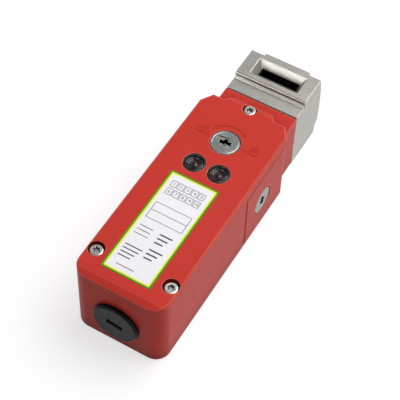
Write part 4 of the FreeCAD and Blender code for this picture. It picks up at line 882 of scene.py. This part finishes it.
# %% Indicator windows
BEZEL = [(3.6, -5.4), (4.6, -5.4), (4.6, -0.8), (5.9, -0.8), (5.9, -0.35), (5.8, -0.18), (5.6, -0.08), (5.35, -0.08),
         (5.15, -0.2), (4.95, -0.5), (4.8, -0.9), (4.55, -1.05), (4.2, -1.0), (3.95, -1.1), (3.75, -1.35), (3.6, -1.4),
         (3.6, -5.4)]
LENS = [(0, -0.55), (0.8, -0.6), (1.5, -0.75), (2.0, -1.05), (2.25, -1.4), (2.5, -1.55), (2.9, -1.45), (3.3, -1.3),
        (3.55, -1.45), (3.55, -4.6), (2.9, -4.6), (2.9, -3.6), (0, -3.6)]
for side in ("left", "right"):
    low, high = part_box("led_bezel_" + side)
    place = Vector(((low.x + high.x) / 2, (low.y + high.y) / 2, lid_high.z))
    for name, node, profile, material, slot_name in (
            ("window_bezel_", "led_bezel_", BEZEL, gloss_black, "gloss_black"),
            ("window_lens_", "led_lens_", LENS, smoked_lens, "smoked_lens")):
        piece = dress(solid(name + side, turned_form(profile)), material, "case")
        set_down(piece, place)
        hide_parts(node + side)

# %% [markdown]
# The blanking plug has a pebbled face, a polished round rim and a slot for a coin. The face and the rim are two
# finishes on one turned piece, told apart by how far a face lies from the axis and how deep it lies. The slot is cut
# before the piece is turned to the plug end.

# %% Blanking plug
PLUG_FACE_R = 11.3
PLUG_SLOT = (9.0, 3.4, 1.5)
PLUG_SLOT_TURN = -8.0
RIM_DEEP = 2.5
PLUG = [(0, -0.12), (PLUG_FACE_R, -0.12), (11.45, 0), (11.65, 0), (12.0, -0.15), (12.3, -0.45), (12.5, -0.85),
        (12.58, -1.25), (12.6, -1.7), (12.6, -2.4), (9.95, -2.4), (9.95, -10.9), (7.5, -10.9), (7.5, -3.4), (0, -3.4)]
ABOVE = 1.0  # how far every cutting box stands out of the face


def box_tool(length, width, low, high, degrees, shift=(0.0, 0.0)):
    """A box to cut with, turned about Z and moved across, sizes in millimetres."""
    form = bmesh.new()
    half_l, half_w = length / 2, width / 2
    a = math.radians(degrees)
    outline = [(x * math.cos(a) - y * math.sin(a) + shift[0], x * math.sin(a) + y * math.cos(a) + shift[1])
               for x, y in ((-half_l, -half_w), (half_l, -half_w), (half_l, half_w), (-half_l, half_w))]
    add_plate(form, outline, low, high)
    return solid("tool", form)


rim_black = finish("rim_black", (0.006, 0.007, 0.008), 0.30, spread=0.15, patch=150.0, depth=0.002, edge=0.15)
low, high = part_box("conduit_plug")
plug = dress(solid("plug_disc", turned_form(PLUG)), black_plastic, "case")
cut_away(plug, box_tool(PLUG_SLOT[0], PLUG_SLOT[1], -PLUG_SLOT[2], ABOVE, PLUG_SLOT_TURN))
plug.data.materials.clear()
plug.data.materials.append(black_plastic)
plug.data.materials.append(rim_black)
for face in plug.data.polygons:
    face.material_index = int(face.center.xy.length > PLUG_FACE_R * MM and face.center.z > -RIM_DEEP * MM)
set_down(plug, Vector(((low.x + high.x) / 2, low.y, (low.z + high.z) / 2)), "X")
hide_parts("conduit_plug")
print("plug across, mm:", 2 * max(r for r, _ in PLUG))

# %% [markdown]
# A key release is a turned disc with a cross socket, a spindle, and a crank with a pin that pushes the yoke inside.
# The disc's face carries the rings of the lathe round its own axis, so it has a copy of the stainless finish with the
# rings effect on a second Bump node, and paints shade into its shallow socket sooner. The side disc's copy is given a
# darker colour than the top one's, as painted shade of the side wall. A scribed line on the top disc shows how far the
# key has turned.

# %% Key releases
RING_PITCH, RING_DEPTH = 0.9, 0.022
SOCKET_SHUT, SOCKET_OPEN = 0.50, 0.72


def turned_finish(name, centre, across, color):
    """The stainless finish in a colour given for each disc, with lathe rings round a centre."""
    material = stainless.copy()
    material.name = name
    tree = material.node_tree
    tint = next(n for n in tree.nodes if n.bl_idname == "ShaderNodeGroup" and n.node_tree == mottle)
    tint.inputs["Color"].default_value = (*color, 1.0)
    cut = place_effect(tree, rings, Centre=centre, Across=across, Pitch=RING_PITCH * MM)
    tree.nodes["deep"].inputs["Shut"].default_value = SOCKET_SHUT
    tree.nodes["deep"].inputs["Open"].default_value = SOCKET_OPEN
    first = next(n for n in tree.nodes if n.bl_idname == "ShaderNodeBump")
    second = add(tree, "Bump", Strength=0.8, Distance=RING_DEPTH * MM)
    join(tree, first, "Normal", second, "Normal")
    join(tree, cut, "Height", second, "Height")
    join(tree, second, "Normal", tree.nodes["Principled BSDF"], "Normal")
    return material


SPINDLE_R = 3.0
CRANK_TOP, PIN_TOP = -15.0, -17.0
SCRIBE = (7.0, 0.6, -1.5, ABOVE, 8, (-1.9, 2.9))
TOP_KEY_TURN, SIDE_KEY_TURN = 8.0, 10.0
DISC = [(0, -0.15), (6.8, -0.15), (6.9, -0.22), (7.0, -0.15), (7.42, -0.15), (7.5, -0.25), (7.5, -2.8),
        (SPINDLE_R, -2.8), (SPINDLE_R, -9.0), (2.5, -9.0), (2.5, -9.9), (SPINDLE_R, -9.9), (SPINDLE_R, -15.0),
        (0, -15.0)]
CRANK = [(-3.2, -3.2), (3.2, -3.2), (3.2, 5.42), (2.2, 5.9), (1.1, 6.2), (0, 6.3), (-1.1, 6.2), (-2.2, 5.9),
         (-3.2, 5.42)]
PIN = (1.5, 4.7)
KEY_LONG, KEY_SHORT, KEY_DEEP = (6.6, 2.1), (4.7, 2.3), 2.4


def release(name, node, body, place, axis, key_turn, reach, material, scribed):
    """A key release that stands for its solid."""
    piece = solid(name, turned_form(DISC, 72))
    for length, width, turn in ((*KEY_LONG, key_turn), (*KEY_SHORT, key_turn + 90)):
        cut_away(piece, box_tool(length, width, -KEY_DEEP, ABOVE, turn))
    if scribed:
        cut_away(piece, box_tool(*SCRIBE))
    form = bmesh.new()
    form.from_mesh(piece.data)
    add_plate(form, CRANK, PIN_TOP, CRANK_TOP)
    steps = [math.pi * n / 12 for n in range(24)]
    pin = [(PIN[0] * math.cos(a), PIN[1] + PIN[0] * math.sin(a)) for a in steps]
    add_plate(form, pin, -reach, PIN_TOP)
    bpy.data.objects.remove(piece)
    piece = dress(solid(name, form), material, body)
    set_down(piece, place, axis)
    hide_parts(node)


top_box, side_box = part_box("top_release_disc"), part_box("side_release_disc")
disc_top = turned_finish("turned_top", top_release, (1.0, 1.0, 0.0), (0.34, 0.355, 0.335))
# The side disc's darker colour is painted shade of the side wall.
disc_side_painted_shade = turned_finish("turned_side_painted_shade", side_release, (0.0, 1.0, 1.0), (0.20, 0.19, 0.172))
top_place = Vector((top_release.x, top_release.y, lid_high.z))
side_place = Vector((cad_high.x, side_release.y, side_release.z))
release("key_release_top", "top_release_disc", "top_release", top_place, None, TOP_KEY_TURN,
        (lid_high.z - top_box[0].z) / MM, disc_top, True)
release("key_release_side", "side_release_disc", "side_release", side_place, "Y", SIDE_KEY_TURN,
        (cad_high.x - side_box[0].x) / MM, disc_side_painted_shade, False)
print("top release reaches, mm:", round((lid_high.z - top_box[0].z) / MM, 2))

# %% [markdown]
# The block of the head stands a step above the band behind it, and the foot of that step is a hollow round, as every
# inside corner of a casting is. A thin strip with a hollow arc gives it, and catches the light line that runs
# along the real one. Its flat sides are sunk a little into the metal, and its ends stop short of the sides.

# %% Hollow round of the head
ROUND_R = 1.25
STEP_Y, BAND_Z = 8.8, 38.3
SUNK = 0.1
END_GAP = 0.35
head_low, head_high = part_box("head_body")
head_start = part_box("head_gasket")[1].y / MM
form = bmesh.new()
arc = [(ROUND_R * (math.sin(a) - 1), ROUND_R * (1 - math.cos(a))) for a in [math.pi * n / 16 for n in range(9)]]
section = [(y + head_start + STEP_Y, z + BAND_Z) for y, z in arc]
section += [(head_start + STEP_Y + SUNK, BAND_Z + ROUND_R), (head_start + STEP_Y + SUNK, BAND_Z - SUNK),
            (head_start + STEP_Y - ROUND_R, BAND_Z - SUNK)]
half = (head_high.x - head_low.x) / 2 / MM - END_GAP
ends = [[form.verts.new(mm(x, y, z)) for y, z in section] for x in (-half, half)]
for ring in ends:
    form.faces.new(ring)
for n in range(len(section)):
    m = (n + 1) % len(section)
    form.faces.new([ends[0][n], ends[0][m], ends[1][m], ends[1][n]])
dress(solid("head_hollow_round", form), cast_stainless, "case")
print("hollow round, mm:", ROUND_R, "over", round(2 * half, 1))

# %% [markdown]
# When the lock rod moves, its contact carrier pushes against a return spring inside the block.

# %% Return spring, copied with a mesh of its own
spring = bpy.data.objects.new("pushed_spring", nodes["lock_contact_spring"].data.copy())
bpy.context.scene.collection.objects.link(spring)
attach(spring, "case")
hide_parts("lock_contact_spring")
low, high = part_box("lock_contact_spring")
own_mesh(spring)

# %% [markdown]
# The last cell measures the box of the dressed model, in millimetres.

# %% Size of the dressed model
low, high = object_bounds()
print("visual box, mm:", [round((b - a) / MM, 2) for a, b in zip(low, high)])
